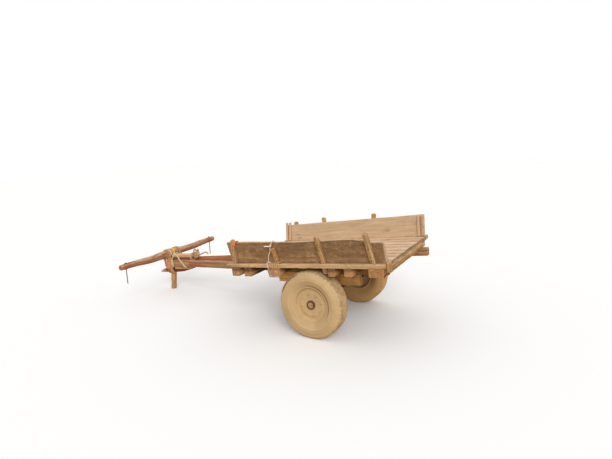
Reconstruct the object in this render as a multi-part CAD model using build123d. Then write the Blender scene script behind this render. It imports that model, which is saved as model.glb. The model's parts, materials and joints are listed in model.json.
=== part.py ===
from build123d import *
import math
import os

os.makedirs("parts", exist_ok=True)

# Bullock cart, millimetres. The cart is drawn level, +X towards the yoke, +Y to its left,
# +Z up, with x = 0 over the axle and z = 0 where the tyres meet the ground. At the end it
# is leant forward about the wheel axis until the prop's foot stands on the ground.

# Wheels
TYRE_RADIUS = 400
TYRE_WIDTH = 207
TREAD_WIDTH = 172
BEAD_WIDTH = 122
WALL_LOW_RADIUS = 296
WALL_HIGH_RADIUS = 356
RIM_RADIUS = 206
RIM_WIDTH = 136
RIM_THICK = 7
DISC_THICK = 8
DISC_OUT = 52
HALF_TRACK = 647
HUB_RADIUS = 47
HUB_OUT = 73
HUB_IN = 82
SPINDLE_RADIUS = 22
SPINDLE_DEPTH = 120
RUNNING_CLEARANCE = 0.08

# Axle and what stands on it
AXLE_SQUARE = 64
AXLE_GAP = 12
BED_WIDTH = 120
BED_HEIGHT = 128
BED_GAP = 26
SADDLE_FRONT = 655
SADDLE_REAR = -520
SADDLE_WIDTH = 92
SADDLE_HEIGHT = 130
STRAP_THICK = 8
STRAP_WIDTH = 50

# Two shafts that meet at the nose, and reach a little past the yoke
SHAFT_WIDTH = 74
SHAFT_HEIGHT = 95
SHAFT_NOSE = 30
SHAFT_REAR_LEFT = -880
SHAFT_REAR_RIGHT = -1060
NOSE_HALF_GAP = 18
SHAFT_SLOPE = 5.9

# Deck
BEAM_HEIGHT = 95
BEAM_NOTCH = 40
BEAM_REACH = 108
DECK_THICK = 44
DECK_FRONT = 1105
DECK_REAR = -985
PLANK_COUNT = 9
PLANK_GAP = 7

# Sides
SIDE_HALF_WIDTH = 640
RAIL_WIDTH = 64
RAIL_HEIGHT = 52
RAIL_FRONT = 1157
RAIL_REAR = -995
RAIL_TIP = 150
RAIL_TIP_RISE = 18
RAIL_TIP_DROP = 6
BOARD_THICK = 28
BOARD_LEAN = 12
BOARD_SPLAY = 1.3
BOARD_FRONT = 1105
BOARD_REAR = -969
BOARD_STEP = -742
BOARD_STEP_RUN = 55
LEFT_FRONT_HEIGHT = 287
LEFT_STEP_HEIGHT = 271
LEFT_REAR_HEIGHT = 245
RIGHT_FRONT_HEIGHT = 238
RIGHT_REAR_HEIGHT = 285
STAKE_THICK = 44
STAKE_POINT = 16
STAKE_TOP_BEVEL = 20
CLEAT_WIDTH = 30
CLEAT_THICK = 26
CLEAT_SLOT = 24
CLEAT_INSET = 16
CLEAT_FOOT = 8
CLEAT_TOP = 226
HEADER_WIDTH = 55
HEADER_HEIGHT = 48
HEADER_REACH_RIGHT = 340
POST_WIDTH = 58
POST_THICK = 40
POST_RISE = 36
POST_DROP = 28

# Nose, yoke, its pins and the prop. The nose pieces are placed from the yoke's middle line.
BLOCK_BEHIND = 110
BLOCK_LENGTH = 360
BLOCK_HEIGHT = 50
BLOCK_WIDTH = 184
BLOCK_BEVEL = 14
SKID_AHEAD = 275
SKID_LENGTH = 695
SKID_HEIGHT = 64
SKID_WIDTH = 90
SKID_TAPER = 115
SKID_TAIL = 350
REST_LENGTH = 505
REST_HEIGHT = 80
REST_SIDE = 38
REST_WIDTH = 124
YOKE_X = 2860
YOKE_SEAT = 27
YOKE_HALF_LENGTH = 958
YOKE_MIDDLE_RADIUS = 60
YOKE_END_RADIUS = 41
YOKE_MIDDLE_HALF = 170
YOKE_FACE_COUNT = 12
YOKE_ROLL = 0.45
YOKE_TURN = 0.45
PIN_RADIUS = 6
PIN_SHANK_RADIUS = 7
PIN_INSET = 90
PIN_STEM = 205
PIN_COLLAR_RADIUS = 12
PIN_COLLAR_THICK = 8
PIN_HEAD_RADIUS = 13
PIN_HEAD_THICK = 10
PIN_SEAT = 2
PIN_FACE_COUNT = 8
PROP_BEHIND = 6
PROP_HEIGHT = 396
PROP_SECTION = 62
PROP_RAKE = 7.8

# Ropes
ROPE = 18
NOSE_TURNS_WIDTH = 28
SIDE_ROPE = 13
TOUCH = 0.5

# The cross-beams reach out past the sides
beam_half_length = SIDE_HALF_WIDTH + BEAM_REACH

# Stations along the nose
shaft_front = YOKE_X + SHAFT_NOSE
rest_back = shaft_front - REST_LENGTH
block_front = YOKE_X - BLOCK_BEHIND
block_back = block_front - BLOCK_LENGTH
skid_tip = YOKE_X + SKID_AHEAD
skid_back = skid_tip - SKID_LENGTH
prop_x = YOKE_X - PROP_BEHIND

# Heights of the levels, from the ground up
axle_z = TYRE_RADIUS
bed_z = axle_z + AXLE_SQUARE / 2
saddle_z = bed_z + BED_HEIGHT
shaft_z = saddle_z + SADDLE_HEIGHT
shaft_top = shaft_z + SHAFT_HEIGHT
deck_z = shaft_top - BEAM_NOTCH + BEAM_HEIGHT
deck_top = deck_z + DECK_THICK
block_z = shaft_z - BLOCK_HEIGHT
skid_z = block_z - SKID_HEIGHT
rest_top = shaft_top + REST_HEIGHT
yoke_z = rest_top - YOKE_SEAT + YOKE_MIDDLE_RADIUS

# Leaning forward on the prop: the shafts' underside at the prop comes down to its height
prop_rise = shaft_z - axle_z
prop_arm = math.hypot(prop_x, prop_rise)
park_lean = math.atan2(prop_rise, prop_x) - math.asin((PROP_HEIGHT - axle_z) / prop_arm)
park_angle = math.degrees(park_lean)

# A length that reaches past the whole cart, for tools that cut a piece off at a plane
past_all = YOKE_X - DECK_REAR


def block(x0, x1, y0, y1, z0, z1):
    """A rectangular timber between two corners."""
    return Pos((x0 + x1) / 2, (y0 + y1) / 2, (z0 + z1) / 2) * Box(x1 - x0, y1 - y0, z1 - z0)


def slab(outline, width):
    """A piece of one width across the cart, from its side view of (x, z) corners."""
    face = make_face(Polyline(outline, close=True))
    return Pos(0, -width / 2, 0) * extrude(Plane.XZ * face, width, dir=(0, 1, 0))


def revolve_y(points):
    """A solid of revolution about the wheel axis, from (radius, y) corners."""
    face = make_face(Polyline([(r, y, 0) for r, y in points], close=True))
    return revolve(face, Axis.Y)


def park(shape):
    """Leans a piece forward about the wheel axis."""
    return Pos(0, 0, axle_z) * Rot(0, park_angle, 0) * Pos(0, 0, -axle_z) * shape


def unpark(shape):
    """Brings a piece that is drawn as it stands parked into the level cart."""
    return Pos(0, 0, axle_z) * Rot(0, -park_angle, 0) * Pos(0, 0, -axle_z) * shape


def parked_point(x, z):
    """Where a point of the level cart comes to when the cart leans on its prop."""
    rise = z - axle_z
    return (x * math.cos(park_lean) + rise * math.sin(park_lean),
            axle_z - x * math.sin(park_lean) + rise * math.cos(park_lean))


# Wheels
def tyre():
    """A tyre as one solid ring: foot on the rim, wall that swells out, shoulder and tread."""
    foot = BEAD_WIDTH / 2
    widest = TYRE_WIDTH / 2
    tread = TREAD_WIDTH / 2
    half = [(RIM_RADIUS, foot), (WALL_LOW_RADIUS, widest), (WALL_HIGH_RADIUS, widest),
            (TYRE_RADIUS, tread)]
    return revolve_y(half + [(r, -y) for r, y in reversed(half)])


def wheel_disc():
    """A plain rim with its disc set near the outer edge, in one pressing."""
    half = RIM_WIDTH / 2
    rim_inside = RIM_RADIUS - RIM_THICK
    back = DISC_OUT - DISC_THICK
    return revolve_y([
        (RIM_RADIUS, -half), (rim_inside, -half), (rim_inside, back), (HUB_RADIUS, back),
        (HUB_RADIUS, DISC_OUT), (rim_inside, DISC_OUT), (rim_inside, half), (RIM_RADIUS, half),
    ])


def hub():
    """The barrel that turns on the spindle, its nose through the disc."""
    bore = SPINDLE_RADIUS + RUNNING_CLEARANCE
    bore_end = SPINDLE_DEPTH - HUB_IN + RUNNING_CLEARANCE
    return revolve_y([
        (bore, -HUB_IN), (HUB_RADIUS, -HUB_IN), (HUB_RADIUS, HUB_OUT), (0, HUB_OUT),
        (0, bore_end), (bore, bore_end),
    ])


def at_wheel(shape, side):
    """Carries a wheel piece to its side, outer face outwards."""
    turned = shape if side > 0 else Rot(0, 0, 180) * shape
    return Pos(0, side * HALF_TRACK, axle_z) * turned


# Axle, bed and saddles
def axle():
    inner = HALF_TRACK - HUB_IN
    reach = inner + SPINDLE_DEPTH
    bar = block(-AXLE_SQUARE / 2, AXLE_SQUARE / 2, -(inner - AXLE_GAP), inner - AXLE_GAP,
                axle_z - AXLE_SQUARE / 2, axle_z + AXLE_SQUARE / 2)
    spindle = Pos(0, 0, axle_z) * Rot(90, 0, 0) * Cylinder(SPINDLE_RADIUS, 2 * reach)
    return bar + spindle


def axle_bed():
    half = HALF_TRACK - TYRE_WIDTH / 2 - BED_GAP
    return block(-BED_WIDTH / 2, BED_WIDTH / 2, -half, half, bed_z, bed_z + BED_HEIGHT)


def shaft_y(x):
    """Distance of a shaft's middle line from the cart's middle plane."""
    start = NOSE_HALF_GAP + SHAFT_WIDTH / 2
    return start + (shaft_front - x) * math.tan(math.radians(SHAFT_SLOPE))


def along_shaft(x0, x1, width, z0, z1, side):
    """A timber that follows one shaft's line between two stations."""
    half = width / 2
    outline = Polyline([
        (x0, side * (shaft_y(x0) - half)), (x1, side * (shaft_y(x1) - half)),
        (x1, side * (shaft_y(x1) + half)), (x0, side * (shaft_y(x0) + half)),
    ], close=True)
    return Pos(0, 0, z0) * extrude(make_face(outline), z1 - z0, dir=(0, 0, 1))


def saddle(side):
    return along_shaft(SADDLE_REAR, SADDLE_FRONT, SADDLE_WIDTH, saddle_z, shaft_z, side)


def axle_strap(side):
    """An iron strap bent round axle and bed under one saddle."""
    middle = side * shaft_y(0)
    half = STRAP_WIDTH / 2
    low = axle_z - AXLE_SQUARE / 2
    outer = block(-BED_WIDTH / 2 - STRAP_THICK, BED_WIDTH / 2 + STRAP_THICK,
                  middle - half, middle + half, low - STRAP_THICK, saddle_z)
    inner = block(-BED_WIDTH / 2, BED_WIDTH / 2, middle - STRAP_WIDTH, middle + STRAP_WIDTH,
                  low, saddle_z)
    return outer - inner


# Shafts, cross-beams and deck
def shaft(side):
    rear = SHAFT_REAR_LEFT if side > 0 else SHAFT_REAR_RIGHT
    return along_shaft(rear, shaft_front, SHAFT_WIDTH, shaft_z, shaft_top, side)


# Cross-beams: middle x, width, depth below the deck, how far the ends stay back
CROSS_BEAMS = [
    (995, 112, 98, 0),
    (834, 104, 112, 30),
    (418, 124, 95, 0),
    (-336, 86, 92, 0),
    (-532, 92, 92, 0),
]
REAR_BEAM = (-856, 174, 96, 0)


def cross_beam(x, width, depth, back):
    """A beam notched over both shafts, mortised for the stakes that come down on it."""
    reach = beam_half_length - back
    beam = block(x - width / 2, x + width / 2, -reach, reach, deck_z - depth, deck_z)
    for side in (1, -1):
        beam = beam - shaft(side) - stakes(side)
    return beam


# Planks: how far each one's front end stands out, and its rear end stays short
PLANK_ENDS = [
    (0, 0), (12, 6), (-8, 0), (6, 4), (-14, 9), (10, 0), (-4, 5), (16, 3), (2, 0),
]


def deck_planks():
    """Planks that fan out a little to the rear, the outer ones mortised for the stakes."""
    planks = []
    for index in range(PLANK_COUNT):
        front, rear = PLANK_ENDS[index % len(PLANK_ENDS)]
        corners = []
        for x in (DECK_REAR + rear, DECK_FRONT + front):
            width = 2 * rail_line(x) / PLANK_COUNT
            y0 = -rail_line(x) + index * width
            corners += [(x, y0 + PLANK_GAP / 2), (x, y0 + width - PLANK_GAP / 2)]
        a, b, c, d = corners
        outline = Polyline([a, b, d, c], close=True)
        planks.append(Pos(0, 0, deck_z) * extrude(make_face(outline), DECK_THICK, dir=(0, 0, 1)))
    planks[0] = planks[0] - stakes(-1)
    planks[-1] = planks[-1] - stakes(1)
    return Compound(planks)


# Sides: each board stands on the deck and leans out, its stakes outside and cleats inside.
# Both sides spread a little towards the rear. In a side's own plane x runs along the board,
# y outwards from its inner face and z up it.
side_middle = (BOARD_FRONT + BOARD_REAR) / 2
lean_angle = math.radians(BOARD_LEAN)
rail_in = (BOARD_THICK / math.cos(lean_angle) + (RAIL_HEIGHT - DECK_THICK) * math.tan(lean_angle)
           + TOUCH / 2)


def splay(shape, side):
    """Carries a piece drawn along the middle plane out to one side's foot line."""
    out = (Pos(side_middle, SIDE_HALF_WIDTH, 0) * Rot(0, 0, -BOARD_SPLAY)
           * Pos(-side_middle, 0, 0) * shape)
    return out if side > 0 else mirror(out, Plane.XZ)


def lean(shape, side):
    return splay(Pos(0, 0, deck_top) * Rot(-BOARD_LEAN, 0, 0) * shape, side)


def rail_line(x):
    """Distance of a rail's inner face from the middle plane at one station."""
    return SIDE_HALF_WIDTH + rail_in - (x - side_middle) * math.tan(math.radians(BOARD_SPLAY))


def rail(side):
    """A rail with a tapered front tip, cut short for the header and mortised for the stakes."""
    top = deck_z + RAIL_HEIGHT
    outline = Polyline([
        (RAIL_REAR, deck_z), (RAIL_FRONT - RAIL_TIP, deck_z), (RAIL_FRONT, deck_z + RAIL_TIP_RISE),
        (RAIL_FRONT, top - RAIL_TIP_DROP), (RAIL_REAR, top),
    ], close=True)
    body = extrude(Plane.XZ * make_face(outline), RAIL_WIDTH, dir=(0, 1, 0))
    behind = block(DECK_REAR - past_all, DECK_REAR, -past_all, past_all, 0, past_all)
    return splay(Pos(0, rail_in, 0) * body, side) - behind - stakes(side)


# Board tops: x along the board and height there, from the front end to the rear end
BOARD_TOP = {
    1: [(BOARD_FRONT, LEFT_FRONT_HEIGHT), (548, 278), (100, 270), (-300, 281), (-540, 290),
        (BOARD_STEP, LEFT_STEP_HEIGHT), (BOARD_STEP - BOARD_STEP_RUN, LEFT_REAR_HEIGHT),
        (BOARD_REAR, LEFT_REAR_HEIGHT)],
    -1: [(BOARD_FRONT, RIGHT_FRONT_HEIGHT), (BOARD_REAR, RIGHT_REAR_HEIGHT)],
}


def board(side):
    """One wide board that leans out and is cut flat where it stands on the deck."""
    outline = Polyline([(BOARD_REAR, 0), (BOARD_FRONT, 0)] + BOARD_TOP[side], close=True)
    face = Plane.XZ * make_face(outline)
    standing = lean(extrude(face, BOARD_THICK, dir=(0, 1, 0)), side)
    return standing - block(-past_all, past_all, -past_all, past_all, deck_z, deck_top)


# Stakes: foot x, top x, height of the top above the deck, depth of the foot below it, width
STAKES = {
    1: [(1030, 1000, 328, 90, 60), (371, 388, 212, 90, 48), (-215, -209, 330, 108, 62),
        (-834, -804, 340, 90, 62)],
    -1: [(960, 947, 286, 90, 62), (430, 491, 322, 90, 62), (-262, -272, 335, 118, 62),
         (-830, -840, 240, 90, 62)],
}


def stakes(side):
    """Four stakes in mortises, each leaning its own way along the board, with a blunt point."""
    pieces = []
    for foot, top, height, depth, width in STAKES[side]:
        half = width / 2
        point = half - STAKE_TOP_BEVEL / 2
        shoulder = half - STAKE_TOP_BEVEL / 6
        outline = Polyline([
            (foot - half, -depth), (foot + half, -depth), (foot + half, 0),
            (top + shoulder, height - STAKE_POINT), (top + point, height),
            (top - point, height), (top - shoulder, height - STAKE_POINT), (foot - half, 0),
        ], close=True)
        piece = extrude(Plane.XZ * make_face(outline), STAKE_THICK, dir=(0, 1, 0))
        pieces.append(lean(Pos(0, BOARD_THICK, 0) * piece, side))
    return Compound(pieces)


def cleats(side):
    """Pairs of strips at both ends of a board, with the slot for an end board between them."""
    pitch = CLEAT_WIDTH + CLEAT_SLOT
    pieces = []
    for end, inward in ((BOARD_FRONT - CLEAT_INSET, -1), (BOARD_REAR, 1)):
        for index in range(2):
            near = end + inward * index * pitch
            far = near + inward * CLEAT_WIDTH
            strip = block(min(near, far), max(near, far), -CLEAT_THICK, 0, CLEAT_FOOT, CLEAT_TOP)
            pieces.append(lean(strip, side))
    return Compound(pieces)


def rear_header():
    """The beam that closes the plank ends, short on the right."""
    return block(DECK_REAR - HEADER_WIDTH, DECK_REAR, -HEADER_REACH_RIGHT, beam_half_length,
                 deck_top - HEADER_HEIGHT, deck_top)


def header_post():
    """A short post on the header's left end."""
    return block(DECK_REAR - POST_WIDTH, DECK_REAR, beam_half_length, beam_half_length + POST_THICK,
                 deck_z - POST_DROP, deck_top + POST_RISE)


# Nose, rest, prop and yoke
def nose_block():
    """A spacer under both shafts, its rear lower edge bevelled."""
    return slab([
        (block_back, shaft_z), (block_front, shaft_z), (block_front, block_z),
        (block_back + 4 * BLOCK_BEVEL, block_z), (block_back, block_z + BLOCK_BEVEL),
    ], BLOCK_WIDTH)


def skid():
    """The nose timber below the block: a long rising tail, and a wedge for a tip."""
    low_tip = skid_z + SKID_HEIGHT / 8
    body = slab([
        (skid_back, block_z), (skid_tip - SKID_TAPER, block_z), (skid_tip, low_tip + SKID_HEIGHT / 8),
        (skid_tip, low_tip), (skid_tip - SKID_TAPER / 2, skid_z), (skid_back + SKID_TAIL, skid_z),
        (skid_back + SKID_TAIL / 2, skid_z + SKID_HEIGHT / 4), (skid_back, block_z - SKID_HEIGHT / 8),
    ], SKID_WIDTH)
    return body - unpark(prop())


def yoke_rest():
    """A round-backed log that lies on both shafts and is hollowed for the yoke."""
    half = REST_WIDTH / 2
    shoulder = REST_HEIGHT - REST_SIDE / 4
    section = make_face(Polyline([
        (-half, 0), (half, 0), (half, REST_SIDE), (half / 2, shoulder), (half / 6, REST_HEIGHT),
        (-half / 6, REST_HEIGHT), (-half / 2, shoulder), (-half, REST_SIDE),
    ], close=True))
    log = extrude(Plane.YZ * section, shaft_front - rest_back, dir=(1, 0, 0))
    return Pos(rest_back, 0, shaft_top) * log - yoke_log()


def yoke_log():
    """A log hewn to flats, thick in the middle, that tapers to blunt ends and lies askew."""
    section = Rot(0, 0, 180 / YOKE_FACE_COUNT) * RegularPolygon(YOKE_MIDDLE_RADIUS, YOKE_FACE_COUNT,
                                                           major_radius=False)
    length = YOKE_HALF_LENGTH - YOKE_MIDDLE_HALF
    taper = math.degrees(math.atan2(YOKE_MIDDLE_RADIUS - YOKE_END_RADIUS, length))
    middle = extrude(section, YOKE_MIDDLE_HALF, both=True)
    end = Pos(0, 0, YOKE_MIDDLE_HALF) * extrude(section, length, taper=taper)
    log = Rot(90, 0, 0) * (middle + end + mirror(end, Plane.XY))
    return Pos(YOKE_X, 0, yoke_z) * Rot(0, 0, -YOKE_TURN) * Rot(-YOKE_ROLL, 0, 0) * log


def yoke_pin(side):
    """One forged pin that hangs plumb through the parked yoke: a round stem for the strap
    below a collar, shank and head that are hammered to flats."""
    y = side * (YOKE_HALF_LENGTH - PIN_INSET)
    along = (abs(y) - YOKE_MIDDLE_HALF) / (YOKE_HALF_LENGTH - YOKE_MIDDLE_HALF)
    log_radius = YOKE_MIDDLE_RADIUS - along * (YOKE_MIDDLE_RADIUS - YOKE_END_RADIUS)
    level_x = YOKE_X + y * math.sin(math.radians(YOKE_TURN))
    level_z = yoke_z - y * math.sin(math.radians(YOKE_ROLL))
    x, z = parked_point(level_x, level_z)
    head_z = z + log_radius - PIN_SEAT
    collar_top = z - log_radius + PIN_SEAT
    collar_z = collar_top - PIN_COLLAR_THICK
    stem = Cylinder(PIN_RADIUS, PIN_STEM, align=(Align.CENTER, Align.CENTER, Align.MIN))
    pin = Pos(x, y, collar_z - PIN_STEM) * stem
    for radius, low, high in (
        (PIN_COLLAR_RADIUS, collar_z, collar_top),
        (PIN_SHANK_RADIUS, collar_top, head_z),
        (PIN_HEAD_RADIUS, head_z, head_z + PIN_HEAD_THICK),
    ):
        step = extrude(RegularPolygon(radius, PIN_FACE_COUNT, major_radius=False), high - low)
        pin = pin + Pos(x, y, low) * step
    return pin


def yoke_pins():
    return Compound([yoke_pin(1), yoke_pin(-1)])


def prop():
    """A square post whose foot rakes forward, cut flat on the ground and under the shafts."""
    half = PROP_SECTION / 2
    top_x, top_z = parked_point(prop_x, shaft_z)
    post = block(-half, half, -half, half, -2 * top_z, top_z)
    post = Pos(top_x, 0, top_z) * Rot(0, -PROP_RAKE, 0) * post
    under = block(-past_all, 2 * past_all, -past_all, past_all, -past_all, shaft_z)
    return post & park(under) & block(0, 2 * past_all, -past_all, past_all, 0, past_all)


# Ropes, as plain rings and square strands
def strand(corners, thick):
    """A square strand through the corners, each run long enough to close the bends."""
    runs = []
    for start, end in zip(corners, corners[1:]):
        run = Vector(end) - Vector(start)
        place = Plane(origin=Vector(start) - run.normalized() * thick / 2, z_dir=run)
        length = run.length + thick
        runs.append(place * Box(thick, thick, length, align=(Align.CENTER, Align.CENTER, Align.MIN)))
    rope = runs[0]
    for run in runs[1:]:
        rope = rope + run
    return rope


def yoke_lashing():
    """Turns over the yoke and under the shafts on both sides, and a sling below the skid."""
    inner = YOKE_MIDDLE_RADIUS
    outer = inner + ROPE
    drop = shaft_z - TOUCH - yoke_z
    ahead = shaft_front + 2 - YOKE_X
    side_in = shaft_y(YOKE_X - outer) + SHAFT_WIDTH / 2 + TOUCH
    side_out = side_in + 2 * ROPE
    angles = [math.pi * k / 6 for k in range(7)]
    over = [(-outer * math.cos(angle), outer * math.sin(angle)) for angle in angles]
    under = [(inner * math.cos(angle), inner * math.sin(angle)) for angle in angles]
    ring = make_face(Polyline(
        [(-outer, drop - ROPE)] + over + [(ahead + ROPE, drop - ROPE), (ahead, drop - ROPE)]
        + under + [(-inner, drop - ROPE)], close=True))
    turn = extrude(Plane.XZ * ring, 2 * ROPE, dir=(0, 1, 0))
    bands = Pos(0, side_in, 0) * turn + Pos(0, -side_out, 0) * turn
    for x in (-outer, ahead):
        bands += block(x, x + ROPE, -side_out, side_out, drop - ROPE, drop)
    foot_in = SKID_WIDTH / 2 + TOUCH
    foot_z = skid_z - TOUCH - yoke_z
    cradle = make_face(Polyline([
        (side_in, 0), (foot_in, foot_z), (-foot_in, foot_z), (-side_in, 0), (-side_out, 0),
        (-foot_in - 2 * ROPE, foot_z - ROPE), (foot_in + 2 * ROPE, foot_z - ROPE), (side_out, 0),
    ], close=True))
    bands += Pos(inner, 0, 0) * extrude(Plane.YZ * cradle, ROPE, dir=(1, 0, 0))
    return Pos(YOKE_X, 0, yoke_z) * bands - yoke_log()


def nose_lashing():
    """Turns just ahead of the nose block that bind the rest down on both shafts."""
    x0 = block_front + 2
    side = shaft_y(x0) + SHAFT_WIDTH / 2 + TOUCH
    shoulder = REST_WIDTH / 2 + TOUCH
    inner = Polyline([
        (-side, shaft_z - TOUCH), (side, shaft_z - TOUCH), (side, shaft_top + TOUCH),
        (shoulder, shaft_top + REST_SIDE + TOUCH), (shoulder / 2, rest_top + TOUCH),
        (-shoulder / 2, rest_top + TOUCH), (-shoulder, shaft_top + REST_SIDE + TOUCH),
        (-side, shaft_top + TOUCH),
    ], close=True)
    hole = make_face(inner)
    band = offset(hole, ROPE, kind=Kind.INTERSECTION) - hole
    return Pos(x0, 0, 0) * extrude(Plane.YZ * band, NOSE_TURNS_WIDTH, dir=(1, 0, 0)) - yoke_rest()


# The knot's loose end: distance behind the rest, y and height above the shafts
TAIL = [(55, -30, 66), (123, -92, 62), (166, -117, 34)]


def rest_knot():
    """The knot behind the rest, as a plain lump with its stiff loose end."""
    lump = block(rest_back - 4 * ROPE, rest_back, -2.5 * ROPE, 2.5 * ROPE,
                 shaft_top + ROPE / 2, rest_top + 2 * ROPE)
    return lump + strand([(rest_back - x, y, shaft_top + z) for x, y, z in TAIL], ROPE)


# The rope over the left board: x, and height above the deck, of its corners on the outer
# face from the board's top down to the rail
ROPE_OVER = 417
ROPE_INSIDE = 170
ROPE_CORNERS = [(430, 225), (453, 118), (484, 22)]


def side_rope():
    """A rope hung over the left board and tied down round the third cross-beam's end."""
    half = SIDE_ROPE / 2 + 2 * TOUCH
    ahead, behind = BOARD_TOP[1][1:3]
    share = (ahead[0] - ROPE_OVER) / (ahead[0] - behind[0])
    top = ahead[1] + share * (behind[1] - ahead[1])
    out = BOARD_THICK + half
    route = [(ROPE_OVER - SIDE_ROPE, -half, ROPE_INSIDE), (ROPE_OVER, -half, top + half),
             (ROPE_OVER + TOUCH, out, top + half)]
    route += [(x, out, height) for x, height in ROPE_CORNERS]
    path = lean(Polyline(route), 1)
    x, width, depth, back = CROSS_BEAMS[2]
    side_x = x + width / 2 + TOUCH + SIDE_ROPE / 2
    rail_out = rail_line(side_x) + RAIL_WIDTH + half
    corners = [tuple(vertex.center()) for vertex in path.vertices()]
    corners += [(side_x + TOUCH, rail_out, deck_z + RAIL_HEIGHT + half),
                (side_x, rail_out, deck_z - depth / 2)]
    inner_y = rail_line(x - width) + RAIL_WIDTH + TOUCH
    outer_y = inner_y + SIDE_ROPE
    grip = width / 2 + TOUCH
    ring = block(x - grip - SIDE_ROPE, x + grip + SIDE_ROPE, inner_y, outer_y,
                 deck_z - depth - TOUCH - SIDE_ROPE, deck_z + TOUCH + SIDE_ROPE)
    ring -= block(x - grip, x + grip, inner_y, outer_y, deck_z - depth - TOUCH, deck_z + TOUCH)
    return ring + strand(corners, SIDE_ROPE) - board(1) - rail(1)


pieces = {}
for name, side in (("left", 1), ("right", -1)):
    pieces["tyre_" + name] = at_wheel(tyre(), side)
    pieces["wheel_disc_" + name] = at_wheel(wheel_disc(), side)
    pieces["hub_" + name] = at_wheel(hub(), side)
    pieces["saddle_" + name] = saddle(side)
    pieces["shaft_" + name] = shaft(side)
    pieces["rail_" + name] = rail(side)
    pieces["board_" + name] = board(side)
    pieces["stakes_" + name] = stakes(side)
    pieces["cleats_" + name] = cleats(side)
pieces["axle"] = axle()
pieces["axle_bed"] = axle_bed()
pieces["axle_straps"] = Compound([axle_strap(1), axle_strap(-1)])
pieces["cross_beams"] = Compound([cross_beam(*row) for row in CROSS_BEAMS])
pieces["rear_beam"] = cross_beam(*REAR_BEAM)
pieces["deck_planks"] = deck_planks()
pieces["rear_header"] = rear_header()
pieces["header_post"] = header_post()
pieces["nose_block"] = nose_block()
pieces["skid"] = skid()
pieces["yoke_rest"] = yoke_rest()
pieces["yoke"] = yoke_log() - unpark(yoke_pins())
pieces["yoke_lashing"] = yoke_lashing()
pieces["nose_lashing"] = nose_lashing()
pieces["rest_knot"] = rest_knot()
pieces["side_rope"] = side_rope()

placed = {name: park(shape) for name, shape in pieces.items()}
placed["yoke_pins"] = yoke_pins()
placed["prop"] = prop()
boxes = [shape.bounding_box() for shape in placed.values()]
rearmost = min(box.min.X for box in boxes)
foremost = max(box.max.X for box in boxes)
to_origin = Pos(-(rearmost + foremost) / 2, 0, 0)
for name, shape in placed.items():
    export_step(to_origin * shape, "parts/" + name + ".step")
print("leans by", round(park_angle, 4), "degrees, axle at x", round(-(rearmost + foremost) / 2, 3))
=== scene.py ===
import json
import math
import random

import bmesh
import bpy
from mathutils import Color, Matrix, Vector, noise
from mathutils.geometry import interpolate_bezier


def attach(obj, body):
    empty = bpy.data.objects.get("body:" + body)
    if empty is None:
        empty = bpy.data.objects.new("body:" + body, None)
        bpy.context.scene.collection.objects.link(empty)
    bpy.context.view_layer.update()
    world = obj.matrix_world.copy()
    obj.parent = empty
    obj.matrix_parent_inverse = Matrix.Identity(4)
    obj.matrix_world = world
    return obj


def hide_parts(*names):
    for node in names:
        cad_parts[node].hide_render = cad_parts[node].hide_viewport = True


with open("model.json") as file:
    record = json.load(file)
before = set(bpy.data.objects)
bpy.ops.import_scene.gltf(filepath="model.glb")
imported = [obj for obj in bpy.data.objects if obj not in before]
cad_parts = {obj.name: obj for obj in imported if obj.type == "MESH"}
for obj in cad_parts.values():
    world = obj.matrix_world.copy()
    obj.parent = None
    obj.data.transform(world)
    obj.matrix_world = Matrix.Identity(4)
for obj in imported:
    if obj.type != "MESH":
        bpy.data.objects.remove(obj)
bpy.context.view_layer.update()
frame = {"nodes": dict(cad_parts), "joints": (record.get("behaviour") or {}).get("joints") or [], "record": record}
scene = bpy.context.scene


# Tyres: worn rubber lorry tyres, brown with dust. Each one is spun from its section, with three
# wavy grooves round the crown, slots in the shoulders and moulded rings on the walls.
# Most pieces are drawn as the cart stands level, and `lean` tips them onto the prop.
deck_up = Vector(next(m for m in frame["record"]["mounts"] if m["name"] == "deck_face")["axis"])
wheel_at = {j["name"].split("_")[1]: Vector(j["pos_m"]) for j in frame["joints"]}
axle_at = Vector((wheel_at["left"].x, 0, wheel_at["left"].z))
lean = (Matrix.Translation(axle_at) @ Matrix.Rotation(math.atan2(deck_up.x, deck_up.z), 4, "Y")
        @ Matrix.Translation((0, 0, -axle_at.z)))
level = lean.inverted()


class Number:
    """A socket of a node tree that can be added, multiplied and compared."""

    def __init__(self, owner, socket):
        self.owner = owner
        self.socket = socket

    def maths(self, operation, *others):
        return self.owner.node("ShaderNodeMath", {"operation": operation}, (self, *others))

    def __add__(self, other):
        return self.maths("ADD", other)

    def __sub__(self, other):
        return self.maths("SUBTRACT", other)

    def __rsub__(self, other):
        return self.owner.node("ShaderNodeMath", {"operation": "SUBTRACT"}, (other, self))

    def __mul__(self, other):
        return self.maths("MULTIPLY", other)

    def __truediv__(self, other):
        return self.maths("DIVIDE", other)

    __radd__ = __add__
    __rmul__ = __mul__

    def away_from(self, value):
        return (self - value).maths("ABSOLUTE")

    def rise(self, low, high):
        """0 below low and 1 above high, with a smooth step between; the other way if low > high."""
        reach = {"From Min": min(low, high), "From Max": max(low, high)}
        step = self.owner.node("ShaderNodeMapRange", {"interpolation_type": "SMOOTHSTEP"},
                               Value=self, **reach)
        return step if low < high else 1 - step


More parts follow.
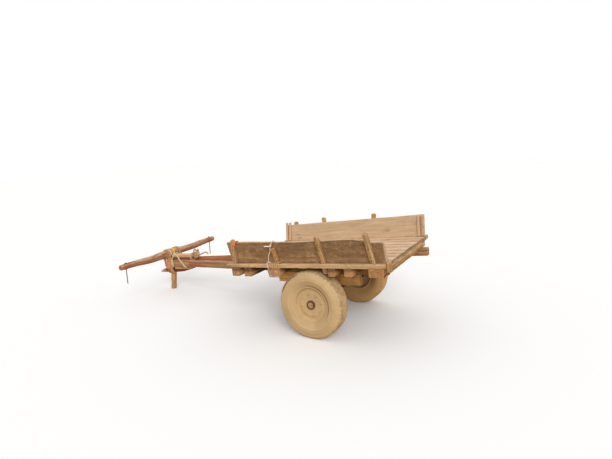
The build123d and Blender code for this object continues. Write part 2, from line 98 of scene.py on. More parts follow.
class Nodes:
    """A node tree, to which nodes are added with their settings and their sockets' values."""

    def __init__(self, tree):
        self.tree = tree

    def put(self, socket, value):
        if isinstance(value, Number):
            self.tree.links.new(value.socket, socket)
        else:
            socket.default_value = value

    def node(self, kind, settings=(), values=(), output=0, **named):
        """Adds a node. Values go to its sockets in order, by their index or by their name."""
        node = self.tree.nodes.new(kind)
        for key, value in dict(settings).items():
            setattr(node, key, value)
        placed = values if isinstance(values, dict) else dict(enumerate(values))
        for key, value in (placed | named).items():
            self.put(node.inputs[key], value)
        return Number(self, node.outputs[output])

    def parts(self, vector):
        split = self.node("ShaderNodeSeparateXYZ", values=(vector,)).socket.node
        return [Number(self, socket) for socket in split.outputs]


class Paint(Nodes):
    """A material: its texture nodes, its cover of colours, and the shader's inputs."""

    def __init__(self, name, roughness=0.9, metallic=0.0):
        self.data = bpy.data.materials.new(name)
        self.data.use_nodes = True
        super().__init__(self.data.node_tree)
        self.shader = self.tree.nodes["Principled BSDF"].inputs
        self.put(self.shader["Roughness"], roughness)
        self.put(self.shader["Metallic"], metallic)

    def attribute(self, name, output="Fac"):
        return self.node("ShaderNodeAttribute", {"attribute_name": name}, output=output)

    def place(self):
        return self.node("ShaderNodeTexCoord", output="Object")

    def stretch(self, vector, scale, move=(0, 0, 0)):
        return self.node("ShaderNodeMapping", Vector=vector, Scale=scale, Location=move)

    def noise(self, vector, scale, detail=4.0, roughness=0.55, distortion=0.0):
        return self.node("ShaderNodeTexNoise", Vector=vector, Scale=scale, Detail=detail,
                         Roughness=roughness, Distortion=distortion)

    def mix(self, share, first, second, blend="MIX"):
        """Two colours mixed by a share: links, screen colours up to 255, or linear ones."""
        first, second = (
            colour if isinstance(colour, Number) or len(colour) > 3
            else (*Color([part / 255 for part in colour]).from_srgb_to_scene_linear(), 1)
            for colour in (first, second))
        return self.node("ShaderNodeMix", {"data_type": "RGBA", "blend_type": blend},
                         {0: share, 6: first, 7: second}, 2)

    def brighter(self, factor):
        return self.node("ShaderNodeVectorMath", {"operation": "SCALE"}, (self.cover,),
                         Scale=factor)

    def coat(self, share, colour):
        """Lays a share of a colour over the cover. A factor in its place brightens the cover."""
        if isinstance(colour, float):
            colour = self.brighter(colour)
        self.cover = self.mix(share, self.cover, colour)

    def finish(self, height=None, depth=0.002, strength=0.6, roughness=None):
        self.put(self.shader["Base Color"], self.cover)
        if roughness is not None:
            self.put(self.shader["Roughness"], roughness)
        if height is not None:
            bump = self.node("ShaderNodeBump", Height=height, Distance=depth, Strength=strength)
            self.put(self.shader["Normal"], bump)
        return self.data


def piece(name, bm, material, body, nodes=(), sharp=40):
    """A finished mesh that rides on a body and stands for CAD nodes."""
    bmesh.ops.recalc_face_normals(bm, faces=bm.faces)
    for face in bm.faces:
        face.smooth = True
    mesh = bpy.data.meshes.new(name)
    bm.to_mesh(mesh)
    bm.free()
    mesh.set_sharp_from_angle(angle=math.radians(sharp))
    mesh.materials.append(material)
    obj = bpy.data.objects.new(name, mesh)
    scene.collection.objects.link(obj)
    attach(obj, body)
    if nodes:
        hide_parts(*nodes)
    return obj


def mirrored(points):
    """The other half of a section or a ring, from its (y, height) points."""
    return [(-y, height) for y, height in reversed(points)]


def spun(profile, steps):
    """A mesh turned round the Y axis from (y, radius) corners in mm, closed if the ends meet."""
    bm = bmesh.new()
    verts = [bm.verts.new((0, y / 1000, radius / 1000)) for y, radius in profile]
    edges = [bm.edges.new(pair) for pair in zip(verts, verts[1:])]
    bmesh.ops.spin(bm, geom=verts + edges, cent=(0, 0, 0), axis=(0, 1, 0), angle=2 * math.pi,
                   steps=steps, use_merge=True)
    bmesh.ops.remove_doubles(bm, verts=bm.verts, dist=1e-6)
    return bm


def wheel_matrix(side):
    """Carries a wheel piece drawn round the origin, its outer face towards +Y, to its place."""
    turn = Matrix() if side == "left" else Matrix.Rotation(math.pi, 4, "Z")
    return Matrix.Translation(wheel_at[side]) @ turn


def from_hub(paint):
    """A point's offset from the left wheel's middle. The right wheel turns about the same line."""
    return paint.node("ShaderNodeVectorMath", {"operation": "SUBTRACT"},
                      (paint.place(), wheel_at["left"]))


def dusty(name, dust, bare, deep, rings, reach):
    """Dust over a wheel: rings of tone, bare patches, and a deeper tone where it is scuffed."""
    paint = Paint(name)
    x, y, z = paint.parts(from_hub(paint))
    radius = (x * x + z * z).maths("SQRT")
    ring = paint.noise(paint.node("ShaderNodeCombineXYZ", X=radius * rings, Y=y * 4), 1, 3, 0.6)
    place = paint.place()
    broad = paint.noise(place, 5, 4)
    patch = paint.noise(place, 17, 7, 0.62)
    speck = paint.noise(place, 95, 4, 0.6)
    paint.cover = paint.mix(ring.rise(0.3, 0.75) * 0.55, dust, bare)
    paint.coat(patch.rise(0.5, 0.78) * 0.5, bare)
    paint.coat((patch + ring * 0.3).rise(reach + 0.2, reach + 0.32) * 0.7, deep)
    paint.coat(speck.rise(0.66, 0.8) * 0.5, deep)
    paint.cover = paint.brighter(broad * 0.5 + 0.76)
    return paint, radius, patch, speck


def crown(y):
    """A tyre's radius in mm, which falls off towards its shoulders."""
    return 400 - 2.6 * (y / 80) ** 2


outer = [
    (60, 207), (67.2, 210.4), (69.4, 215), (70.8, 219.5), (72.8, 224), (74.8, 230), (79, 240),
    (79.6, 241.2), (83.4, 250), (84.8, 251.2), (85.8, 254.5), (86.2, 257.5), (90, 266),
    (90.6, 267.2), (94.6, 277), (98.4, 287), (99.8, 288.5), (101.6, 292), (103, 295), (103.5, 299),
    (103.4, 306), (102.4, 307), (102.7, 316), (103.5, 317.5), (103.4, 329), (102.8, 330.2),
    (102.8, 343), (101.8, 344.2), (101.2, 354), (99.8, 363), (97.4, 373), (94.4, 382.5),
    (91.6, 389), (89.3, 392.5), (86.2, 395.5), (80, 397.2),
]
section = list(outer)
for middle in (54, 0, -54):
    top = crown(middle)
    section += [(middle + 4.6, top), (middle + 3.2, top - 3.6), (middle - 3.2, top - 3.6),
                (middle - 4.6, top)]
    if middle > -54:
        section.append((middle - 27, crown(middle - 27)))
section += mirrored(outer) + [(-50, 207), (-74, 260), (-86, 330), (-72, 374), (0, 379), (72, 374),
                              (86, 330), (74, 260), (50, 207), section[0]]

rubber, radius, patch, speck = dusty(
    "dusty_rubber", (192, 166, 126), (178, 150, 110), (142, 112, 78), 120, 0.66)


def towards(direction):
    """How far a point of a tyre lies in one direction from the hub, up to 1."""
    return rubber.node("ShaderNodeVectorMath", {"operation": "DOT_PRODUCT"},
                       (from_hub(rubber), direction), "Value") / radius


worn = radius.rise(0.379, 0.392) * patch.rise(0.47, 0.66)
rubber.coat(worn * 0.45, (134, 100, 66))
# Painted light: the upper rear of each tyre is brightened a little.
above = towards((-0.8, 0, 0.6)).rise(0.1, 0.9)
rubber.cover = rubber.brighter(above * 0.1 + 1)
# Painted shade: a dark crescent round the rim, only on the tyre's upper rear, where the wall dips in.
crescent_painted_shade = radius.away_from(0.231).rise(0.017, 0.003) * above
rubber.coat(crescent_painted_shade * 0.8, (126, 94, 60))
scuff = towards((0.72, 0, 0.69)).rise(0.86, 0.97) * speck.rise(0.42, 0.52)
rubber.coat(scuff * radius.away_from(0.381).rise(0.016, 0.008), (98, 62, 40))
x, y, z = rubber.parts(rubber.place())
# Painted light on the right tyre: a warm tint, darker towards the front and brighter towards the rear, in place of
# light from the floor.
right_side = y.rise(-0.3, -0.5)
rear = x.rise(wheel_at["left"].x - 0.16, wheel_at["left"].x - 0.38)
painted_bounce_light = rubber.mix(rear, (0.95, 0.82, 0.64, 1), (1.24, 1.14, 0.96, 1))
rubber.coat(right_side, rubber.mix(1.0, rubber.cover, painted_bounce_light, "MULTIPLY"))
# Painted shade: a dark ring at the right tyre's inner bead, on its rear side.
bead_painted_shade = radius.away_from(0.250).rise(0.030, 0.012) * right_side * rear
rubber.coat(bead_painted_shade * 0.7, (112, 74, 46))
soiled = rubber.attribute("slot") * patch.rise(0.36, 0.6) * 0.55
rubber.coat(soiled, (146, 110, 76))
rubber = rubber.finish(patch * 0.6 + speck * 0.5, 0.0018, 0.6)

STEPS, SLOT_PITCH, WAVES = 288, 6, 48
SHOULDER_Y, SHOULDER_RADIUS = 0.064, 0.3835
for side in ("left", "right"):
    bm = spun(section, STEPS)
    slots = bm.verts.layers.float.new("slot")
    cut = []
    for face in bm.faces:
        x, y, z = face.calc_center_median()
        step = math.atan2(x, z) % (2 * math.pi) / (2 * math.pi) * STEPS
        due = int(step + (SLOT_PITCH / 2 if y < 0 else 0)) % SLOT_PITCH == 0
        shoulder = abs(y) > SHOULDER_Y and math.hypot(x, z) > SHOULDER_RADIUS
        if due and shoulder and abs(face.normal.dot(Vector((x, y * 3, z)))) > 0.05:
            cut.append(face)
    walls = bmesh.ops.extrude_face_region(bm, geom=cut)
    bmesh.ops.delete(bm, geom=cut, context="FACES_ONLY")
    for vert in (v for v in walls["geom"] if isinstance(v, bmesh.types.BMVert)):
        out = Vector((vert.co.x, 0, vert.co.z)).normalized()
        vert.co -= out * 0.0040 + Vector((0, math.copysign(0.0026, vert.co.y), 0))
        vert[slots] = 1
    for vert in bm.verts:
        r = math.hypot(vert.co.x, vert.co.z)
        turn = math.atan2(vert.co.x, vert.co.z) / (2 * math.pi)
        if 0.385 < r < 0.3965 and abs(vert.co.y) < 0.062:
            vert[slots] = 0.5
        if r > 0.385 and abs(vert.co.y) < 0.075:
            vert.co.y += 0.0035 * (abs(turn * WAVES % 1 * 2 - 1) * 2 - 1)
        spot = vert.co + Vector((0, 5 if side == "left" else 9, 0))
        bulge = noise.noise(spot * 9) * 0.0012 + noise.noise(spot * 40) * 0.0006
        if r > 0.21 and abs(vert.co.y) > 0.055 or r > 0.385:
            vert.co += vert.co.normalized() * (bulge - 0.0012)
    bm.transform(wheel_matrix(side))
    piece(side + "_tyre", bm, rubber, "wheel_" + side, ["tyre_" + side], 50)


# Rim and disc: a pressed steel wheel with rolled lips, once painted, now the colour of the dust.
# The disc is dished and held on the drum by a ring of rusty nuts on studs.
lip = [
    (60, 206.2), (63.6, 208), (65, 211.5), (66.6, 214), (69.2, 214.8), (71.1, 213), (71.4, 209.5),
    (70.2, 205), (67.2, 201.2), (61, 199.3),
]
disc_front = [
    (54.5, 198.5), (50, 195.8), (46.2, 193.5), (43.6, 189.5), (43, 182), (43.4, 172), (44.6, 161),
    (46.4, 152), (49.2, 144), (51.2, 139), (52.1, 133), (52.2, 120), (52.1, 90), (52.1, 64),
    (53.2, 60), (54.8, 56), (54.8, 47),
]
disc_back = [
    (44, 47), (44, 130), (41, 144), (37.2, 160), (35.2, 180), (34, 190), (26, 193.5), (0, 190.5),
    (-40, 194), (-54.5, 198.5),
]
rim = lip + disc_front + disc_back + mirrored(lip) + [(0, 199), lip[0]]
steel, radius, patch, speck = dusty(
    "dusty_steel", (196, 168, 126), (182, 150, 108), (152, 116, 78), 90, 0.68)
near_hub = radius.rise(0.078, 0.052) * patch.rise(0.35, 0.62)
steel.coat(near_hub * 0.5, (142, 102, 66))
nut_stain = radius.away_from(0.126).rise(0.022, 0.004) * speck.rise(0.5, 0.72)
steel.coat(nut_stain * 0.45, (164, 116, 76))
steel = steel.finish(patch * 0.5 + speck * 0.5, 0.0015, 0.5)

rust = Paint("rusty_iron", 0.85, 0.15)
place = rust.place()
broad, fine = rust.noise(place, 30, 6, 0.65), rust.noise(place, 150, 5, 0.6)
rust.cover = rust.mix(broad.rise(0.35, 0.68), (74, 46, 34), (124, 72, 44))
rust.coat(fine.rise(0.55, 0.72) * 0.6, (166, 100, 58))
iron = rust.finish(broad * 0.5 + fine * 0.5, 0.0012, 0.8, fine * 0.2 + 0.7)


def nut(radius, height, at, axis="Y"):
    """A nut on its stud's end, over a washer."""
    bm = bmesh.new()
    for r, low, high, corners in ((radius * 1.35, 0, height * 0.18, 20),
                                  (radius, height * 0.18, height, 6),
                                  (radius * 0.5, height, height * 1.6, 12)):
        made = bmesh.ops.create_cone(bm, cap_ends=True, segments=corners, radius1=r,
                                     radius2=r * 0.96, depth=high - low)
        bmesh.ops.translate(bm, verts=made["verts"], vec=(0, 0, (high + low) / 2))
    edges = [e for e in bm.edges if e.calc_face_angle(0) > 0.8]
    bmesh.ops.bevel(bm, geom=edges, offset=radius * 0.08, segments=1, profile=0.5,
                    affect="EDGES", material=-1)
    if axis == "Y":
        bm.transform(Matrix.Rotation(-math.pi / 2, 4, "X"))
    bm.transform(Matrix.Translation(at))
    return bm


def joined(parts):
    """One mesh from several, which it uses up."""
    whole = bmesh.new()
    for part in parts:
        mesh = bpy.data.meshes.new("part")
        part.to_mesh(mesh)
        part.free()
        whole.from_mesh(mesh)
        bpy.data.meshes.remove(mesh)
    return whole


NUTS = 8
NUT_CIRCLE = 0.126
for side in ("left", "right"):
    bm = spun(rim, 128)
    for vert in bm.verts:
        spot = vert.co + Vector((0, 0, 3 if side == "left" else 8))
        vert.co.y += noise.noise(spot * 14) * 0.0012
    bm.transform(wheel_matrix(side))
    piece(side + "_rim_and_disc", bm, steel, "wheel_" + side,
          ["wheel_disc_" + side], 35)
    nuts = []
    for index in range(NUTS):
        turn = Matrix.Rotation(2 * math.pi * (index + 0.3) / NUTS, 4, "Y")
        bm = nut(0.0105, 0.011, (0, 0.0518, NUT_CIRCLE))
        bm.transform(wheel_matrix(side) @ turn)
        nuts.append(bm)
    piece(side + "_wheel_nuts", joined(nuts), steel, "wheel_" + side)


# Hubs: greasy iron barrels with a collar behind the disc and a hollow cap in front.
# Each turns on the axle's spindle; dust fills the cap's hollow.
greasy = Paint("greasy_hub", 0.65, 0.2)
place = greasy.place()
broad, fine = greasy.noise(place, 40, 6, 0.6), greasy.noise(place, 160, 4)
greasy.cover = greasy.mix(broad.rise(0.35, 0.7), (62, 40, 28), (104, 66, 42))
greasy.coat(fine.rise(0.5, 0.75) * 0.5, (150, 96, 60))
greasy.coat(greasy.attribute("hollow") * broad.rise(0.28, 0.46), (182, 150, 108))
hub_iron = greasy.finish(broad * 0.6 + fine * 0.4, 0.0015, 0.8)
hub_section = [
    (-82, 22.6), (-82, 47), (-78, 51), (24, 51), (27, 55), (27.5, 71), (30, 74), (41, 74),
    (43.8, 72), (43.8, 47.2), (54, 47), (55, 50), (58, 51.2), (69, 51.2), (72.5, 49.5), (73.5, 46),
    (72.8, 40), (70, 38.2), (62, 37.5), (60, 34), (60.8, 20), (62.5, 15), (64, 9), (64.2, 0.1),
    (39, 0.1), (39, 22.6), (-82, 22.6),
]
for side in ("left", "right"):
    bm = spun(hub_section, 64)
    hollow_layer = bm.verts.layers.float.new("hollow")
    for vert in bm.verts:
        if math.hypot(vert.co.x, vert.co.z) < 0.0379 and vert.co.y > 0.05:
            vert[hollow_layer] = 1
        vert.co += vert.co * (noise.noise(vert.co * 60) * 0.008)
    bm.transform(wheel_matrix(side))
    piece(side + "_hub", bm, hub_iron, "wheel_" + side, ["hub_" + side], 35)


# Axle: a square forged bar with turned spindles, strapped under a squared log of hardwood.
# Two saddle timbers stand on the log and carry the shafts.
def solids(node, order="x"):
    """A CAD node's solids, each as a merged copy in the level cart, front or left one first."""
    whole = bmesh.new()
    whole.from_mesh(frame["nodes"][node].data)
    bmesh.ops.remove_doubles(whole, verts=whole.verts, dist=1e-5)
    whole.transform(level)
    whole.faces.ensure_lookup_table()
    parts, seen = [], set()
    for face in whole.faces:
        if face.index in seen:
            continue
        group, stack = set(), [face]
        while stack:
            here = stack.pop()
            if here.index not in group:
                group.add(here.index)
                stack += [other for edge in here.edges for other in edge.link_faces]
        seen |= group
        solid = whole.copy()
        bmesh.ops.delete(solid, geom=[f for f in solid.faces if f.index not in group],
                         context="FACES")
        bmesh.ops.dissolve_limit(solid, angle_limit=math.radians(2), verts=solid.verts,
                                 edges=solid.edges)
        parts.append(solid)
    whole.free()
    index = "xyz".index(order)
    return sorted(parts, key=lambda s: -sum(v.co[index] for v in s.verts) / len(s.verts))


def own_axes(solid, along=None):
    """Along a timber, and its two other directions."""
    edge = max(solid.edges, key=lambda e: e.calc_length())
    longest = (edge.verts[1].co - edge.verts[0].co).normalized()
    sides = [f for f in solid.faces if abs(f.normal.dot(longest)) < 0.25]
    across = longest.cross(max(sides, key=lambda f: f.calc_area()).normal).normalized()
    if along is None:
        return longest, across, longest.cross(across).normalized()
    along = Vector(along)
    if abs(along.dot(across)) > 0.5:
        across = along.orthogonal()
    across = (across - along * across.dot(along)).normalized()
    return along, across, along.cross(across)


def weathered(solid, seed, tone=0.5, bevel=0.004, step=0.018, fine=0.013, rough=0.0009,
              chip=0.003, bow=0.0, tint=None, along=None):
    """Wears a timber: rounded, chipped edges, an uneven surface, and axes for its grain."""
    rng = random.Random(seed)
    edge_layer = solid.faces.layers.int.new("edge")
    solid.normal_update()
    axes = own_axes(solid, along)
    sharp = [e for e in solid.edges if e.is_manifold and e.calc_face_angle(0) > math.radians(20)]
    rounded = bmesh.ops.bevel(solid, geom=sharp, offset=bevel, segments=2, profile=0.5,
                              affect="EDGES", clamp_overlap=True, material=-1)
    for face in rounded["faces"]:
        face[edge_layer] = 1
    for direction, gap in zip(axes, (step, fine, fine)):
        reach = [v.co.dot(direction) for v in solid.verts]
        low, high = min(reach), max(reach)
        count = max(1, round((high - low) / gap))
        for index in range(1, count):
            height = low + (high - low) * index / count
            bmesh.ops.bisect_plane(solid, geom=solid.verts[:] + solid.edges[:] + solid.faces[:],
                                   dist=2e-4, plane_co=direction * height, plane_no=direction)
    bmesh.ops.triangulate(solid, faces=[f for f in solid.faces if len(f.verts) > 4])
    shift = Vector([rng.uniform(-40, 40) for _ in range(3)])
    of_verts, of_faces = solid.verts.layers, solid.faces.layers
    for layers, name in ((of_verts.float_vector, "grain"), (of_verts.float, "worn"),
                         (of_verts.float, "tone"), (of_faces.float, "end"),
                         (of_faces.float, "tint")):
        layers.new(name)
    grain, edge_layer = of_verts.float_vector["grain"], of_faces.int["edge"]
    worn, tones = of_verts.float["worn"], of_verts.float["tone"]
    ends, tints = of_faces.float["end"], of_faces.float["tint"]
    solid.normal_update()
    for face in solid.faces:
        face[ends] = 1.0 if abs(face.normal.dot(axes[0])) > 0.75 else 0.0
        face[tints] = tint(face.calc_center_median(), face.normal) if tint else 0.0
    moves = []
    for vert in solid.verts:
        place = Vector([vert.co.dot(axis) for axis in axes])
        spot = place + shift
        vert[grain] = spot
        vert[tones] = tone(vert.co) if callable(tone) else tone
        long = Vector((spot.x, spot.y * 5, spot.z * 5))
        height = noise.noise(long * 2.5) * rough * 1.6 + noise.noise(long * 11) * rough
        if any(face[edge_layer] for face in vert.link_faces):
            vert[worn] = 1.0
            bite = noise.noise(Vector((spot.x * 16, spot.y * 30, spot.z * 30)))
            height -= chip * (max(0.0, bite - 0.05) * 1.9 + 0.15)
        if abs(vert.normal.dot(axes[0])) > 0.8:
            height += noise.noise(spot * 70) * rough * 1.5
        lift = noise.noise(Vector((spot.x * 1.7, shift.y, 0))) * bow
        side = noise.noise(Vector((spot.x * 1.7, 0, shift.z))) * bow
        moves.append(vert.normal * height + axes[1] * lift + axes[2] * side)
    for vert, move in zip(solid.verts, moves):
        vert.co += move
    return solid


def wood(name, pale, dark, pale2=None, dark2=None, dust=0.35, dust_colour=(214, 184, 148),
         crack=0.8, blotch=0.0, seam=0.0):
    """Weathered timber: fibres, blotches, cracks, knots and end grain, dust and rubbed edges."""
    paint = Paint(name, 0.92)
    place = paint.attribute("grain", "Vector")
    tone, worn = paint.attribute("tone"), paint.attribute("worn")
    end, tint = paint.attribute("end"), paint.attribute("tint")
    fibre = paint.noise(paint.stretch(place, (2.2, 42, 42)), 1, 8, 0.66, 0.5)
    strand = paint.noise(paint.stretch(place, (7, 190, 190)), 1, 4, 0.6)
    broad = paint.noise(paint.stretch(place, (2.2, 7, 7)), 1, 3, 0.5)
    patch = paint.noise(paint.stretch(place, (7, 15, 15)), 1, 7, 0.62, 0.3)
    split = paint.noise(paint.stretch(place, (1.7, 30, 30), (3, 5, 7)), 1, 3, 0.5, 0.4)
    line = split.away_from(0.5).rise(0.013, 0.0) * broad.rise(0.42, 0.58) * crack
    knots = paint.node("ShaderNodeTexVoronoi", output="Distance", Scale=1.0,
                       Vector=paint.stretch(place, (2.6, 7.5, 7.5)))
    knot = knots.rise(0.16, 0.07) * (1 - end)
    streak = fibre.rise(0.28, 0.74)
    paint.cover = paint.mix(streak, pale, dark)
    if pale2:
        paint.coat(tint, paint.mix(streak, pale2, dark2))
    paint.coat(patch.rise(0.48, 0.75) * 0.45, 0.62)
    paint.coat(strand.rise(0.5, 0.75) * 0.35, 0.66)
    if blotch:
        line = line * (tint * 0.7 + 0.3)
        spot = paint.noise(paint.stretch(place, (19, 25, 25), (7, 1, 4)), 1, 5, 0.55, 0.6)
        wash = paint.noise(paint.stretch(place, (10, 13, 13), (1, 5, 3)), 1, 5, 0.55)
        paint.coat(wash.rise(0.52, 0.62) * tint * 0.45, (152, 122, 94))
        paint.coat(wash.rise(0.46, 0.36) * tint * 0.4, (106, 76, 42))
        stain = paint.noise(paint.stretch(place, (5, 9, 9), (2, 8, 1)), 1, 4, 0.55)
        paint.coat(spot.rise(0.52, 0.66) * tint * blotch, 1.4)
        paint.coat(stain.rise(0.55, 0.7) * tint * blotch * 0.6,
                   paint.mix(0.5, paint.cover, (146, 88, 62)))
    # A piece's tone sets its brightness; some pieces put painted light or shade into it.
    paint.cover = paint.brighter(tone * 0.7 + broad * 0.36 + 0.47)
    ring = paint.noise(paint.stretch(place, (0.4, 26, 26)), 1, 2, 0.5, 1.2)
    rings = (ring * 22).maths("SINE") * 0.5 + 0.5
    paint.coat(end * (rings * 0.3 + 0.12), 0.5)
    paint.coat(knot * 0.35, (96, 62, 42))
    up = paint.parts(paint.node("ShaderNodeNewGeometry", output="Normal"))[2]
    # Dust lies less where the second palette is, which keeps the painted shade on the left shaft's top dark.
    up = up.rise(0.45, 0.92) * patch.rise(0.62, 0.36) * (1 - tint * 0.75)
    paint.coat(up * dust, dust_colour)
    rubbed = worn * (patch + strand * 0.4).rise(0.55, 0.85)
    paint.coat(rubbed * 0.45, [min(255, part + 28) for part in pale])
    if seam:
        paint.coat(worn * (patch + strand).rise(0.65, 1.0) * seam, (112, 76, 52))
    paint.coat(line, (52, 34, 24))
    height = fibre * 0.5 + strand * 0.45 + patch * 0.2 - line * 1.3 - rings * end * 0.2
    return paint.finish(height, 0.0025, 0.75, fibre * 0.12 + 0.82)


def leaning(name, parts, material, nodes=(), sharp=42):
    """Meshes of the level cart as one piece that leans with it."""
    whole = joined(parts)
    whole.transform(lean)
    return piece(name, whole, material, "cart", nodes, sharp)


def timber(name, node, seed, material, *wear, slot="frame_wood", **more):
    """A CAD node's one solid as a weathered timber."""
    leaning(name, [weathered(solids(node)[0], seed, *wear, **more)], material, [node])


def forging(name, node, radius):
    """A CAD node's solids as forged iron with rounded edges."""
    forged = joined(solids(node))
    edges = [e for e in forged.edges if e.is_manifold and e.calc_face_angle(0) > 0.6]
    bmesh.ops.bevel(forged, geom=edges, offset=radius, segments=2, profile=0.5, affect="EDGES",
                    clamp_overlap=True, material=-1)
    leaning(name, [forged], iron, [node], 30)


def clamp(value):
    return max(0.0, min(1.0, value))


def ramp(value, start, end):
    """0 at the start and before it, 1 at the end and past it."""
    return clamp((value - start) / (end - start))


def saddle_rear_shade(place):
    """A saddle is pale, and darkened with painted shade at its rear end."""
    return 0.85 - 0.6 * ramp(place.x, -0.32, -0.44)


hardwood = wood("hardwood", (140, 102, 62), (90, 62, 38), dust=0.2)
saddle_wood = wood("saddle_wood", (226, 178, 112), (168, 120, 70), dust=0.2)
timber("axle_log", "axle_bed", 11, hardwood, 0.5, 0.007, 0.02, 0.016, 0.0013, 0.004)
timber("left_saddle", "saddle_left", 12, saddle_wood, saddle_rear_shade, 0.006)
timber("right_saddle", "saddle_right", 13, saddle_wood, saddle_rear_shade, 0.006)
forging("axle_bar", "axle", 0.0018)
forging("axle_strap_irons", "axle_straps", 0.0018)


# Shafts: two long sawn timbers that draw together at the nose. Weather has greyed the left one
# and the right one is still red with its old stain; both are pale on top where hands rub them.
# Painted shade keeps the left shaft's top red under the rest, and painted light brightens the right shaft's front.
def pale_low_nose(place):
    """How far a point of the left shaft lies in the lower part of its side near the nose, which is paler and not
    red.
    """
    return ramp(place.z, 0.768, 0.753) * (2.39 < place.x < 2.76)


def low_nose_tone(place):
    return 0.5 + 0.45 * pale_low_nose(place)


def front_red(middle, normal):
    """The left shaft turns from red at the nose to grey, and its top is grey, except under the rest, where the red
    stays as painted shade.
    """
    red = ramp(middle.x, 1.75, 2.20)
    # Under the rest the top keeps its red, as painted shade.
    if normal.z > 0.6 and not 2.39 < middle.x < 2.74:
        red *= 0.15
    return red * (1 - pale_low_nose(middle))


def long_red(middle, normal):
    return ramp(middle.x, 0.7, 1.1)


def stained(place):
    """The right shaft is brighter in front with painted light, dark along its top edge, and bleached at its rear
    end.
    """
    front, rear = ramp(place.x, 0.9, 1.4), ramp(place.x, -0.84, -0.89)
    return 0.5 + 0.2 * front + 0.5 * rear - 0.4 * front * (place.z > right_top - 0.012)


left_shaft_wood = wood("grey_shaft", (170, 137, 102), (124, 93, 64), (184, 122, 88),
                       (134, 78, 54), dust=0.6, dust_colour=(202, 172, 142))
right_shaft_wood = wood("red_shaft", (170, 128, 90), (126, 88, 58), (184, 112, 68), (130, 76, 44),
                        dust=0.25, dust_colour=(132, 86, 52))
right_top = max(vert.co.z for vert in solids("shaft_right")[0].verts)
timber("left_shaft_timber", "shaft_left", 21, left_shaft_wood, low_nose_tone, 0.006, bow=0.003,
       tint=front_red)
timber("right_shaft_timber", "shaft_right", 22, right_shaft_wood, stained, 0.006, bow=0.003,
       tint=long_red)


# Cross-beams: rough squared timbers notched down over both shafts, their ends pale and split.
# A broader one closes the deck at the rear.
def beam_end(middle, normal):
    return ramp(abs(middle.y), 0.56, 0.70)


def far_end(middle, normal):
    """The rear beam's right end is bleached paler than the rest."""
    return ramp(middle.y, -0.60, -0.66)


def shaded_top(tone, low):
    """Painted shade darkens a beam's end right under the rail, down to one height."""
    return lambda place: tone - 1.1 * ramp(place.z, low, low + 0.022)


beam_wood = wood("beam_wood", (136, 88, 48), (90, 52, 26), (196, 148, 102), (148, 104, 66),
                 dust=0.3)
rear_wood = wood("rear_beam_wood", (196, 148, 96), (146, 102, 60), (224, 178, 134), (184, 138, 98),
                 dust=0.4)
shades = [(0.66, 0.796), (0.62, 0.776), (1.3, 0.806), (0.66, 0.790), (0.92, 0.796)]
beams = [weathered(solid, 31 + index, shaded_top(*shades[index]), 0.006, 0.02, 0.014, 0.0014,
                   0.004, tint=beam_end)
         for index, solid in enumerate(solids("cross_beams"))]
leaning("notched_cross_beams", beams, beam_wood, ["cross_beams"])
timber("broad_rear_beam", "rear_beam", 38, rear_wood, 0.58, 0.006, 0.02, 0.015, 0.0014, 0.004,
       tint=far_end)


# Deck: nine sawn planks, polished pale by loads and pinkish with dust, with dark open seams.
# They are nailed to every beam.
# Painted shade: the planks darken towards their undersides, in the dark second palette.
def underside_painted_shade(middle, normal):
    return clamp(0.5 - normal.z * 0.9)


plank_wood = wood("plank_wood", (234, 202, 168), (192, 154, 120), (84, 54, 30), (52, 30, 16),
                  dust=0.42, dust_colour=(232, 203, 170), crack=0.6, seam=0.8)
tones = (0.44, 0.68, 0.52, 0.36, 0.66, 0.46, 0.72, 0.42, 0.6)
planks = [weathered(solid, 41 + index, tones[index], 0.004, 0.022, 0.014, tint=underside_painted_shade)
          for index, solid in enumerate(solids("deck_planks", "y"))]
leaning("worn_deck_planks", planks, plank_wood, ["deck_planks"])


# Sides: on each deck edge a rail, and a wide board that leans out behind it between four stakes.
# Outside the boards are grey-brown and blotched by rain; inside loads keep them pale.
def outside(sign):
    """Picks a board's outer face."""
    return lambda middle, normal: 1.0 if normal.y * sign > 0.5 else 0.0


def pale_foot_and_front(sign):
    """Outside, a board is paler towards its front, and has painted light towards its foot, against the shade
    beside the rail.
    """
    def tone(place):
        splayed = place.y * sign + (place.x - 0.068) * 0.0227
        if splayed < 0.658 + (place.z - 0.884) * 0.2126:
            return 0.5
        foot, front = max(0.0, (1.044 - place.z) / 0.16), ramp(place.x, 0.60, 0.90)
        return 0.5 + 0.65 * foot + 0.36 * front + 0.3 * (place.x > 1.00)
    return tone


def rail_tone(place):
    """A rail is dirtier towards the rear and in its scarf, and darker along its lower edge with painted shade."""
    rear, edge = ramp(place.x, -0.1, -0.5), ramp(place.z, 0.848, 0.840)
    return 0.57 - 0.2 * rear - 0.3 * edge - 0.35 * ramp(abs(place.x - SCARF_X), 0.012, 0)


def up_side(sign, height):
    """A step up along a side, which leans out by 12 degrees."""
    return Vector((0, 0.208 * sign, 0.978)) * height


